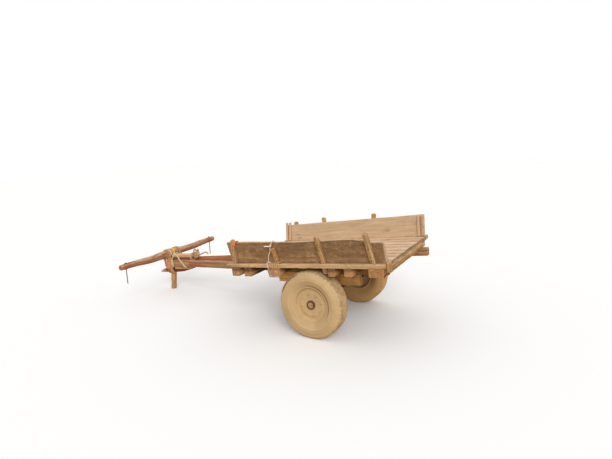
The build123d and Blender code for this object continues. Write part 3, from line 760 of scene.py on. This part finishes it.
SCARF_X = 0.80
board_wood = wood("board_wood", (205, 177, 145), (186, 156, 123), (145, 114, 80), (110, 84, 55),
                  dust=0.75, dust_colour=(196, 158, 125), crack=0.7, blotch=1.0)
rail_wood = wood("rail_wood", (214, 180, 136), (168, 131, 90), (198, 164, 130), (154, 118, 86),
                 dust=0.4)
for side, sign, seed in (("left", 1, 51), ("right", -1, 52)):
    timber(side + "_board_panel", "board_" + side, seed, board_wood, pale_foot_and_front(sign), 0.004,
           0.016, 0.012, 0.0012, 0.005, slot="side_wood", tint=outside(sign), bow=0.002)
for side, seed in (("left", 54), ("right", 55)):
    timber(side + "_rail_timber", "rail_" + side, seed, rail_wood, rail_tone, 0.005, 0.018, 0.012,
           0.0013, 0.004, slot="side_wood",
           tint=lambda middle, normal: 1.0 * (middle.x > SCARF_X))


STAKE_FOOT, STAKE_TIP = 0.89, 1.21
CLEAT_UPPER, CLEAT_TALLER = 1.0, 0.046


def stake_tone(tone, change, start):
    """A stake's tone, which changes towards its tip."""
    return lambda place: tone + change * ramp(place.z, start, start + 0.03)


def settle(solid, sign, top, foot, narrow, taller):
    """Sets a stake as it really leans, a little off square, and gives it its own height."""
    middle = sum(v.co.x for v in solid.verts) / len(solid.verts)
    for vert in solid.verts:
        share = ramp(vert.co.z, STAKE_FOOT, STAKE_TIP)
        vert.co.x = middle + (vert.co.x - middle) * narrow + foot + (top - foot) * share
        if share > 0.6:
            vert.co += up_side(sign, taller)
    return solid


# For each stake: its tone, how much that changes from which height up, its share of orange, and
# how far its top and foot are moved, its width and how much taller it is
square = (0.0, 0.0, 1.0, 0.0)
stakes = {
    "left": [(0.55, 0.0, 1.09, 0.0, (-0.026, 0.008, 0.92, 0.0)),
             (0.42, 0.0, 1.09, 0.8, (0.014, 0.020, 1.0, 0.0)),
             (0.42, 0.4, 1.165, 0.3, (-0.006, -0.020, 0.96, 0.018)),
             (0.54, -0.3, 1.09, 0.0, (0.004, 0.0, 0.95, 0.022))],
    "right": [(0.5, 0.0, 1.09, 0.0, square), (0.46, 0.0, 1.09, 0.0, square),
              (0.48, 0.0, 1.09, 0.3, square), (0.5, 0.0, 1.09, 0.0, square)],
}
stake_wood = wood("stake_wood", (196, 162, 118), (148, 113, 77), (196, 142, 90), (154, 102, 60),
                  dust=0.2, crack=1.0)
cleat_wood = wood("cleat_wood", (216, 184, 148), (182, 144, 110), dust=0.3)
for side, sign, seed in (("left", 1, 61), ("right", -1, 71)):
    posts = []
    for solid, (tone, change, start, orange, stance) in zip(solids("stakes_" + side), stakes[side]):
        posts.append(weathered(
            settle(solid, sign, *stance), seed + len(posts), stake_tone(tone, change, start),
            0.005, 0.014, 0.011, 0.0014, 0.004, tint=lambda middle, normal: orange))
    leaning(side + "_stake_posts", posts, stake_wood, ["stakes_" + side])
    strips = []
    for solid in solids("cleats_" + side):
        for vert in solid.verts:
            if side == "right" and vert.co.z > CLEAT_UPPER:
                vert.co += up_side(sign, CLEAT_TALLER)
        strips.append(weathered(solid, seed + 5 + len(strips), 0.5, 0.003, 0.016, 0.01, 0.0008,
                                0.002))
    leaning(side + "_cleat_strips", strips, cleat_wood, ["cleats_" + side])


# Rear header: a stout strip across the plank ends, with one short post at the left.
# Both are pale, and gnawed by years of loading.
def gnarled(place):
    """Uneven in tone, with a dark spot of painted shade, as in a hollow, at the header's left end."""
    # Painted shade, as if in a hollow.
    hollow = ramp((place - Vector((-0.995, 0.640, 0.880))).length, 0.03, 0)
    spot = Vector((place.x * 9, place.y * 9, place.z * 5))
    return 0.52 + 0.5 * noise.noise(spot) - 1.2 * hollow


header_wood = wood("header_wood", (196, 156, 106), (142, 102, 64), dust=0.35,
                   dust_colour=(208, 176, 134))
for name, node, seed in (("header_strip", "rear_header", 81),
                         ("header_end_post", "header_post", 82)):
    timber(name, node, seed, header_wood, gnarled, 0.007, 0.014, 0.010, 0.0034, 0.014, bow=0.009)


# Nose: a spacer block and a long skid under the meeting shafts, and a square post as a prop.
# The skid's tip is rubbed pale where it is dragged.
def skid_tip(middle, normal):
    return ramp(middle.x, 2.96, 3.08)


block_wood = wood("block_wood", (212, 172, 132), (166, 124, 90), dust=0.2)
skid_wood = wood("skid_wood", (142, 86, 64), (92, 50, 38), (222, 178, 158), (188, 136, 116),
                 dust=0.1)
prop_wood = wood("prop_wood", (204, 158, 110), (158, 112, 74), dust=0.1)
timber("spacer_block", "nose_block", 91, block_wood, 0.52, 0.006)
timber("nose_skid", "skid", 92, skid_wood, 0.5, 0.007, tint=skid_tip, along=(1, 0, 0))
timber("prop_post", "prop", 93, prop_wood, 0.5, 0.005)


# Yoke: a peeled pole that lies in a hollow of the rest, a round-backed log on both shafts.
# Its top is bleached and its underside red-brown. An iron pin hangs through each end.
# Painted shade: the rest's lower sides take the dark red second palette.
def rest_low_shade(middle, normal):
    return ramp(middle.z, 0.832, 0.812) * (normal.z < 0.8)


def near_pin(place, reach):
    return ramp(abs(abs(place.y) - PIN_Y), reach, 0)


def red_under(middle, normal):
    """Dark red along the yoke's side and round its pins, brightest underneath."""
    return clamp(max(0.55 - normal.z * 1.1, near_pin(middle, 0.08) * 1.2))


def handled(place):
    """The yoke is palest in the middle and at its ends, and stained along its side and pins."""
    band = math.exp(-((place.z - 0.895) / 0.018) ** 2) * (1 - 0.6 * math.exp(-(place.y / 0.3) ** 2))
    return (0.55 + 0.2 * ramp(abs(place.y), 0.45, 0) - 0.28 * near_pin(place, 0.09) - 0.3 * band
            + 0.45 * (abs(place.y) > yoke_reach))


PIN_Y = 0.83
YOKE_X, YOKE_Z = 2.860, 0.898
rest_wood = wood("rest_wood", (212, 172, 136), (164, 120, 88), (148, 90, 50), (98, 54, 30),
                 dust=0.62, dust_colour=(230, 198, 166))
timber("rest_log", "yoke_rest", 95, rest_wood, 0.55, 0.006, 0.016, 0.011, 0.0018, 0.006,
       slot="yoke_wood", tint=rest_low_shade, along=(1, 0, 0))
yoke_wood = wood("yoke_wood", (192, 150, 114), (120, 84, 62), (204, 118, 72), (120, 62, 42),
                 dust=0.95, dust_colour=(220, 188, 154), crack=1.0)
solid = solids("yoke")[0]
yoke_reach = max(vert.co.y for vert in solid.verts) - 0.004
weathered(solid, 97, handled, 0.009, 0.014, 0.011, 0.0022, 0.005, tint=red_under, along=(0, 1, 0))
for vert in solid.verts:
    x, y, z = vert.co
    sag = 0.013 * max(0.0, 1 - (y / 0.8) ** 2) + 0.010 * math.exp(-((abs(y) - 0.42) / 0.2) ** 2)
    thin = 0.95 - 0.08 * math.exp(-((y + 0.32) / 0.22) ** 2)
    thin += 0.02 * noise.noise(Vector((0, y * 5, 3)))
    vert.co = (YOKE_X + (x - YOKE_X) * thin, y, YOKE_Z + (z - YOKE_Z) * thin - sag)
leaning("yoke_pole", [solid], yoke_wood, ["yoke"])
forging("yoke_pin_irons", "yoke_pins", 0.0012)


# Lashings: three-strand rope of dry straw-coloured fibre. Two turns on each side hold the yoke
# down on the shafts, a sling carries the skid, and a brighter cord is wound on beside them.
def smooth(points, gap):
    """Evenly set points on a smooth curve through given ones, which are in mm."""
    points = [Vector(point) / 1000 for point in points]
    points = [points[0] * 2 - points[1]] + points + [points[-1] * 2 - points[-2]]
    path = []
    for before, start, end, after in zip(points, points[1:], points[2:], points[3:]):
        reach = (end - start).length / 3
        out = start + (end - before).normalized() * reach
        back = end - (after - start).normalized() * reach
        path += interpolate_bezier(start, out, back, end, max(2, round(reach * 3 / gap) + 1))[:-1]
    return path + [points[-2]]


def rope(points, radius, strands=3):
    """Strands laid round each other along a path, or one plain cord."""
    path = smooth(points, radius * (0.55 if strands > 1 else 0.9))
    curve = bpy.data.curves.new("rope", "CURVE")
    curve.dimensions = "3D"
    curve.bevel_depth = radius * 0.55 if strands > 1 else radius
    curve.bevel_resolution = 1 if strands > 1 else 2
    curve.use_fill_caps = True
    side = (path[1] - path[0]).orthogonal().normalized()
    run, middles = 0.0, []
    for before, here, after in zip(path[:1] + path, path, path[1:] + path[-1:]):
        along = (after - before).normalized()
        side = (side - along * side.dot(along)).normalized()
        run += (here - before).length
        middles.append((here, side, along.cross(side), run / (radius * 7.5)))
    for strand in range(strands):
        spline = curve.splines.new("POLY")
        spline.points.add(len(path) - 1)
        for point, (here, side, up, turns) in zip(spline.points, middles):
            angle = 2 * math.pi * (turns + strand / strands)
            out = (side * math.cos(angle) + up * math.sin(angle)) * radius * 0.48
            fuzz = 1 + noise.noise(here * 90 + Vector((strand * 9, 0, 0))) * 0.22
            point.co = (*(here + (out * fuzz if strands > 1 else out * 0)), 1)
    laid = bpy.data.objects.new("rope", curve)
    mesh = bpy.data.meshes.new_from_object(laid)
    bm = bmesh.new()
    bm.from_mesh(mesh)
    bpy.data.objects.remove(laid)
    bpy.data.meshes.remove(mesh)
    return bm


def fibre(name, pale, dark, dirt=(120, 88, 58)):
    """Plant fibre: fine hairs, darker where dirt sits between the strands."""
    paint = Paint(name, 0.95)
    place = paint.place()
    hair = paint.noise(place, 900, 3, 0.6)
    soil = paint.noise(place, 60, 5, 0.6)
    paint.cover = paint.mix(hair.rise(0.35, 0.68), pale, dark)
    paint.coat(soil.rise(0.5, 0.75) * 0.6, dirt)
    return paint.finish(hair, 0.001, 0.8)


def tied(name, parts, material, nodes=()):
    """Ropes of the level cart as one piece."""
    leaning(name, parts, material, nodes, 50)


def knot(middle, size, radius, turn=(0, 0, 0), strands=3):
    """A tight knot: a rope that runs through its own loops."""
    spin = Matrix.Rotation(turn[2], 3, "Z") @ Matrix.Rotation(turn[1], 3, "Y") @ Matrix.Rotation(
        turn[0], 3, "X")
    points = []
    for index in range(19):
        t = 2 * math.pi * index / 18.5
        bend = Vector((math.sin(t) + 2 * math.sin(2 * t), math.cos(t) - 2 * math.cos(2 * t),
                       -1.3 * math.sin(3 * t)))
        points.append(Vector(middle) + spin @ bend * size / 3)
    return rope(points, radius, strands)


def over_yoke(y0, y1, out, first=200, last=-20, steps=9):
    """Points over the yoke from one angle to another, `out` mm off its surface."""
    points, radius = [], 57 + out
    for index in range(steps):
        share = index / (steps - 1)
        angle = math.radians(first + (last - first) * share)
        points.append((2860 + radius * math.cos(angle), y0 + (y1 - y0) * share,
                       885 + radius * math.sin(angle)))
    return points


def wound(ring, start, width, times=2):
    """Points round a ring of (y, z) corners, while x moves on by a width in mm."""
    steps = times * len(ring)
    return [(start + width * index / steps, *ring[index % len(ring)]) for index in range(steps + 1)]


straw = fibre("straw_rope", (206, 172, 124), (158, 118, 78))
turns = []
for side in (1, -1):
    for on_top, rear_x, front_x, low in ((97, 2789, 2904, 676), (116, 2771, 2922, 674)):
        points = [(rear_x + 4, -side * 20, low), (rear_x + 2, side * 96, low),
                  (rear_x, side * 112, 700), (rear_x, side * 113, 790),
                  (rear_x + 10, side * (on_top + 8), 845)]
        points += over_yoke(side * on_top, side * on_top, 9)
        points += [(front_x + 14, side * (on_top + 3), 830), (front_x + 4, side * 108, 780),
                   (front_x, side * 107, 700), (front_x, side * 92, low - 1),
                   (front_x, -side * 20, low - 1)]
        turns.append(rope(points, 0.009))
sling = [(2806, 60, 800)] + over_yoke(52, 52, 9)
sling += [(2931, 58, 800), (2930, 62, 690), (2929, 54, 588), (2929, 38, 567), (2929, 0, 566)]
sling += [(x, -y, z) for x, y, z in reversed(sling[:-1])]
turns.append(rope(sling, 0.009))
tied("yoke_lashing_ropes", turns, straw, ["yoke_lashing"])

# Strips of tan bast hang the skid from the yoke on the left, outside the shaft.
tan = fibre("tan_bast", (230, 184, 134), (194, 142, 96), (152, 106, 72))
turns = []
for x, foot, top_y, radius in ((2802, 2806, 118, 7), (2818, 2826, 122, 8), (2836, 2846, 124, 7),
                               (2852, 2868, 120, 6.5)):
    turns.append(rope([(x, top_y - 4, 842), (x + 2, top_y, 806), (x + 1, top_y - 2, 760),
                       (x + 3, top_y - 6, 704), (foot - 6, 100, 652), (foot, 78, 606),
                       (foot + 2, 54, 574), (foot + 2, 20, 566)], radius / 1000))
tied("skid_hanging_strips", turns, tan)

gold = fibre("gold_cord", (212, 158, 82), (168, 110, 54), (138, 92, 58))
grey_cord = fibre("grey_cord", (226, 212, 204), (178, 160, 150), (150, 128, 116))
yellow = fibre("yellow_cord", (246, 212, 108), (224, 176, 84), (206, 158, 88))
coil = over_yoke(132, 148, 4, 200, 200 - 360 * 2, 32)
gold_parts = [rope(coil, 0.005), knot((2800, 140, 860), 13, 0.006, (1, 0.4, 0))]
for x, y in ((2838, 134), (2856, 138), (2812, 130)):
    gold_parts.append(rope([(x - 6, y + 4, 846), (x, y - 4, 812), (x + 4, y - 14, 776),
                            (x + 2, y - 20, 742)], 0.005))
tied("gold_yoke_turns", gold_parts, gold)
coil = over_yoke(66, 88, 8, 200, 200 - 360 * 2.5, 42)
tied("grey_yoke_turns", [rope(coil, 0.0062)], grey_cord)
coil = over_yoke(-14, 14, 6, 150, 150 - 360 * 2, 32)
tied("yellow_yoke_knot", [rope(coil, 0.006), knot((2802, 6, 916), 22, 0.0085, (0.5, 0.9, 0.3)),
                          knot((2808, -16, 928), 17, 0.0075, (1.4, 0.2, 0.8))], yellow)


# Nose ropes: turns that bind the rest down beside the block, and one thick pale rope that runs
# from a knot behind the yoke over the rest and is tucked under the left shaft.
pale_straw = fibre("pale_rope", (232, 214, 180), (184, 154, 118))
ring = [(0, 873), (34, 868), (66, 836), (112, 792), (115, 690), (104, 681), (0, 680)]
turns = [rope(wound(ring + mirrored(ring[1:-1]), 2758, 15), 0.0078)]
turns.append(rope([(2792, 8, 886), (2762, 38, 874), (2712, 60, 856), (2662, 78, 838),
                   (2612, 108, 808), (2572, 134, 790), (2545, 138, 764), (2522, 140, 742),
                   (2492, 143, 712), (2474, 142, 686), (2466, 120, 681)], 0.0112))
turns.append(knot((2768, 46, 860), 24, 0.0085, (0.5, 1.2, 0.3)))
turns.append(knot((2742, 62, 848), 18, 0.0075, (1.3, 0.3, 0.9)))
turns.append(rope([(2776, 60, 850), (2768, 84, 822), (2752, 112, 796), (2744, 118, 760),
                   (2736, 120, 728), (2742, 112, 700)], 0.0065))
tied("nose_ropes", turns, pale_straw, ["nose_lashing"])

straw_knot = fibre("knot_rope", (216, 182, 140), (158, 116, 80), (112, 76, 50))
ring = [(0, 874), (34, 867), (70, 828), (71, 796), (52, 776), (0, 776)]
turns = [rope(wound(ring + mirrored(ring[1:-1]), 2394, 18), 0.009)]
turns.append(knot((2350, 4, 832), 30, 0.0115, (0.3, 1.3, 0.2)))
turns.append(knot((2330, -26, 822), 24, 0.0105, (1.2, 0.5, 0.9)))
turns.append(rope([(2392, 10, 812), (2376, 16, 860), (2369, 14, 908), (2360, 8, 929),
                   (2348, 2, 924), (2342, -2, 880), (2346, -4, 820)], 0.0105))
turns.append(rope([(2352, -18, 806), (2343, -22, 862), (2330, -20, 912), (2318, -18, 921),
                   (2309, -20, 900), (2312, -24, 850), (2326, -24, 806)], 0.0105))
turns.append(rope([(2352, -20, 822), (2338, -60, 828), (2312, -90, 838), (2262, -106, 856),
                   (2236, -114, 848), (2219, -119, 826)], 0.0105))
tied("rest_end_knot", turns, straw_knot, ["rest_knot"])


# Side rope: a thin pinkish rope hung over the left board, knotted on the way down, and wound
# round the rail and the third cross-beam's end, where spare loops hang.
def on_board(x, out, up):
    """A point in the left board's own plane, in mm, as a point of the level cart."""
    tilt, splay, middle = BOARD_TILT, math.radians(1.3), 68
    y = out * math.cos(tilt) + up * math.sin(tilt)
    return (middle + (x - middle) * math.cos(splay) + y * math.sin(splay),
            640 - (x - middle) * math.sin(splay) + y * math.cos(splay),
            884 - out * math.sin(tilt) + up * math.cos(tilt))


BOARD_TILT = math.radians(12)
pinkish = fibre("pinkish_rope", (246, 222, 208), (208, 176, 158), (160, 124, 98))
yellowish = fibre("yellowish_rope", (226, 200, 148), (180, 148, 98))
down = [on_board(*place) for place in (
    (388, -8, 120), (398, -8, 200), (404, -8, 256), (406, -4, 277), (407, 14, 283),
    (410, 33, 278), (424, 37, 257), (438, 40, 233), (455, 37, 200), (466, 37, 159),
    (496, 38, 118), (511, 38, 84), (525, 38, 42), (530, 40, 24))]
down += [(522, 720, 898), (512, 733, 889), (503, 735, 850), (498, 737, 818), (487, 745, 790),
         (468, 756, 768), (436, 758, 753)]
knots = [rope(down, 0.0074), knot(on_board(438, 42, 232), 13, 0.006, (1.4, 0, 0)),
         knot(on_board(524, 44, 24), 12, 0.006, (1.2, 0.6, 0)),
         rope([on_board(*place) for place in ((530, 42, 20), (512, 43, 22), (494, 42, 18))], 0.006)]
tied("side_rope_line", knots, pinkish, ["side_rope"])
white = fibre("white_tail", (255, 250, 240), (232, 220, 204), (206, 190, 168))
tied("white_rope_tail", [rope([on_board(*place) for place in (
    (440, 43, 230), (470, 44, 229), (500, 43, 231), (528, 43, 229))], 0.0075)], white)
ring = [(728, 897), (734, 891), (735, 866), (733, 838), (728, 833), (690, 832), (654, 836),
        (652, 870), (656, 896), (690, 898)]
tied("rail_rope_turns", [rope(wound(ring, x - width / 2, width, 1), 0.0048)
                         for x, width in ((440, 9), (408, 12), (384, 9), (352, 8))], yellowish)
turns = []
for x, low, swing, y in ((478, 764, 24, 754), (452, 748, 30, 757), (428, 756, 28, 755)):
    turns.append(rope([(x - swing, 724, 846), (x - swing, 740, 824), (x - swing * 0.8, y, 790),
                       (x - swing * 0.2, y + 4, low), (x + swing * 0.6, y + 2, 786),
                       (x + swing, 742, 822), (x + swing, 724, 846)], 0.0055))
turns.append(knot((440, 757, 778), 20, 0.007, (1.2, 0.3, 0)))
turns.append(knot((416, 757, 770), 15, 0.006, (1.7, 0.1, 0.4)))
for x in (352, 484):
    turns.append(rope([(x, 715, 848), (x, 752, 846), (x, 754, 800), (x, 752, 742), (x, 715, 739)],
                      0.0055))
turns.append(rope([(352, 740, 739), (400, 744, 738), (440, 742, 738), (484, 740, 739)], 0.0055))
tied("beam_end_loops", turns, fibre("dusty_rope", (206, 162, 130), (150, 104, 80)))


# Rags: an orange-red one thrown over the left board's edge behind the first stake, and a salmon
# one that hangs from the yoke's lashing. Both are thin faded cotton, creased and frayed.
def cloth(name, pale, dark):
    paint = Paint(name, 0.95)
    place = paint.place()
    weave, fold = paint.noise(place, 700, 2), paint.noise(place, 35, 5, 0.6)
    paint.cover = paint.mix(fold.rise(0.3, 0.7), pale, dark)
    paint.cover = paint.brighter(weave * 0.3 + 0.85)
    return paint.finish(weave, 0.0006, 0.7)


def strip(points, width, first, last, crumple, seed):
    """A strip of cloth along a path, its width turning from one direction to another."""
    path = smooth(points, 0.005)
    bm = bmesh.new()
    bmesh.ops.create_grid(bm, x_segments=len(path) - 1, y_segments=8, size=0.5)
    first, last = Vector(first).normalized(), Vector(last).normalized()
    for vert in bm.verts:
        share = vert.co.x + 0.5
        index = round(share * (len(path) - 1))
        along = (path[min(index + 1, len(path) - 1)] - path[max(index - 1, 0)]).normalized()
        across = first.lerp(last, share).normalized()
        spot = Vector((share * 9, vert.co.y * 3, seed))
        out = along.cross(across) * noise.noise(spot) * crumple
        out += along.cross(across) * math.sin(vert.co.y * 16 + share * 4) * crumple * 0.35
        vert.co = path[index] + across * vert.co.y * width + out
    bmesh.ops.solidify(bm, geom=bm.faces[:], thickness=0.0012)
    length = sum((b - a).length for a, b in zip(path, path[1:]))
    return bm, length


drape = [on_board(*place) for place in (
    (952, -5, 268), (952, -5, 280), (953, -3, 291), (953, 14, 298), (951, 40, 297), (950, 64, 291),
    (951, 80, 276), (954, 83, 256))]
bm, length = strip(drape, 0.035, (1, 0, 0), (1, 0, 0.15), 0.005, 3)
rag = leaning("board_rag", [bm], cloth("orange_red_cloth", (246, 128, 80), (228, 92, 44)),
              (), 60)

drape = [(2830, 126, 800), (2834, 128, 784), (2842, 126, 758), (2852, 122, 724), (2866, 118, 694),
         (2882, 114, 668), (2890, 110, 652)]
bm, length = strip(drape, 0.058, (1, 0, 0.1), (1, 0, 0.5), 0.008, 8)
hanging = leaning("yoke_cloth", [bm], cloth("salmon_cloth", (228, 156, 116), (196, 122, 84)),
                  (), 60)


# Ironwork: clenched nails through every plank and stake, bolts on the axle straps, and a dark
# red pin with a forked end that is driven in behind the rear beam.
def driven(place, normal, radius):
    """One hammered nail head."""
    bm = bmesh.new()
    bmesh.ops.create_cone(bm, cap_ends=True, segments=9, radius1=radius, radius2=radius * 0.55,
                          depth=radius * 0.5)
    turn = Vector((0, 0, 1)).rotation_difference(Vector(normal)).to_matrix().to_4x4()
    bm.transform(Matrix.Translation(Vector(place)) @ turn)
    return bm


rng = random.Random(5)
heads = []
beams = solids("cross_beams") + solids("rear_beam")
beam_middles = [(min(v.co.x for v in b.verts) + max(v.co.x for v in b.verts)) / 2 for b in beams]
for plank in solids("deck_planks", "y"):
    top = max(v.co.z for v in plank.verts) + 0.0003
    low, high = min(v.co.y for v in plank.verts), max(v.co.y for v in plank.verts)
    for x in beam_middles:
        for y in (low + (high - low) * 0.27, low + (high - low) * 0.73):
            place = (x + rng.uniform(-0.012, 0.012), y + rng.uniform(-0.008, 0.008), top)
            heads.append(driven(place, (0, 0, 1), 0.0052))
for side, sign in (("left", 1), ("right", -1)):
    out = Vector((0, sign * math.cos(BOARD_TILT), -math.sin(BOARD_TILT)))
    for solid in solids("stakes_" + side):
        order = sorted((v.co for v in solid.verts), key=lambda c: c.z)
        foot, tip = sum(order[:4], Vector()) / 4, sum(order[-4:], Vector()) / 4
        reach = max(c.dot(out) for c in order) + 0.0004
        for height in (0.93, 0.975, 1.06):
            place = foot.lerp(tip, (height - foot.z) / (tip.z - foot.z))
            heads.append(driven(place + out * (reach - place.dot(out)), out, 0.0075))
leaning("nail_heads", heads, iron, (), 30)

bolts = []
for strap in solids("axle_straps", "y"):
    y = sum(v.co.y for v in strap.verts) / len(strap.verts)
    for x, z in ((0.0675, 0.520), (0.0675, 0.470), (-0.0675, 0.520), (-0.0675, 0.470)):
        bm = nut(0.011, 0.010, (0, 0, 0), "Z")
        turn = Matrix.Rotation(math.copysign(math.pi / 2, x), 4, "Y")
        bm.transform(Matrix.Translation((x, y, z)) @ turn)
        bolts.append(bm)
leaning("strap_bolts", bolts, iron, (), 30)

shank = rope([(-936, 738, 764), (-952, 742, 771), (-976, 747, 788), (-996, 751, 800)], 0.006, 1)
fork = rope([(-958, 744, 776), (-955, 748, 762), (-947, 752, 752)], 0.0045, 1)
head = bmesh.new()
bmesh.ops.create_icosphere(head, subdivisions=2, radius=0.013)
for vert in head.verts:
    vert.co.z *= 0.75
    vert.co += vert.co * noise.noise(vert.co * 70) * 0.2
bmesh.ops.translate(head, verts=head.verts, vec=(-1.003, 0.752, 0.803))
red_iron = Paint("red_iron", 0.75, 0.1)
flake = red_iron.noise(red_iron.place(), 130, 5, 0.6)
red_iron.cover = red_iron.mix(flake.rise(0.4, 0.65), (118, 34, 26), (92, 58, 38))
leaning("rear_corner_pin", [shank, fork, head], red_iron.finish(flake, 0.001, 0.7), (),
        40)


# Floor, light and camera: a plain pale floor under a soft sky, seen from the rear left corner.
bpy.ops.mesh.primitive_plane_add(size=60, location=(0, 0, 0))
floor = bpy.context.object
floor.name = "floor"
ground = Paint("floor_paint", 1.0)
seen = ground.node("ShaderNodeLightPath", output="Is Camera Ray")
ground.cover = ground.mix(seen, (0.58, 0.45, 0.27, 1), (0.96, 0.975, 1, 1))
ground.finish()
floor.data.materials.append(ground.data)

world = bpy.data.worlds.new("sky")
scene.world = world
world.use_nodes = True
sky = Nodes(world.node_tree)
light, shown = (sky.tree.nodes[name] for name in ("Background", "World Output"))
sky.put(light.inputs["Color"], (1, 0.97, 0.92, 1))
sky.put(light.inputs["Strength"], 0.8)
white = sky.node("ShaderNodeBackground", Color=(1, 1, 1, 1), Strength=1.0)
seen = sky.node("ShaderNodeLightPath", output="Is Camera Ray")
mixed = sky.node("ShaderNodeMixShader", values=(seen, Number(sky, light.outputs[0]), white))
sky.put(shown.inputs["Surface"], mixed)

sun = bpy.data.lights.new("sun", "SUN")
sun.energy = 1.5
sun.angle = math.radians(30)
sun_object = bpy.data.objects.new("sun", sun)
sun_object.rotation_euler = (math.radians(58), 0, math.radians(-140))
scene.collection.objects.link(sun_object)

camera = bpy.data.cameras.new("camera")
camera.lens = 27.565
camera.sensor_width = 36
camera_object = bpy.data.objects.new("camera", camera)
scene.collection.objects.link(camera_object)
camera_object.matrix_world = (
    Matrix.Translation((-3.6068, 5.0983, 2.3170)) @ Matrix.Rotation(math.radians(210.37), 4, "Z")
    @ Matrix.Rotation(math.radians(78.5), 4, "X") @ Matrix.Rotation(math.radians(-2.48), 4, "Z"))
scene.camera = camera_object
scene.view_settings.view_transform = "Standard"
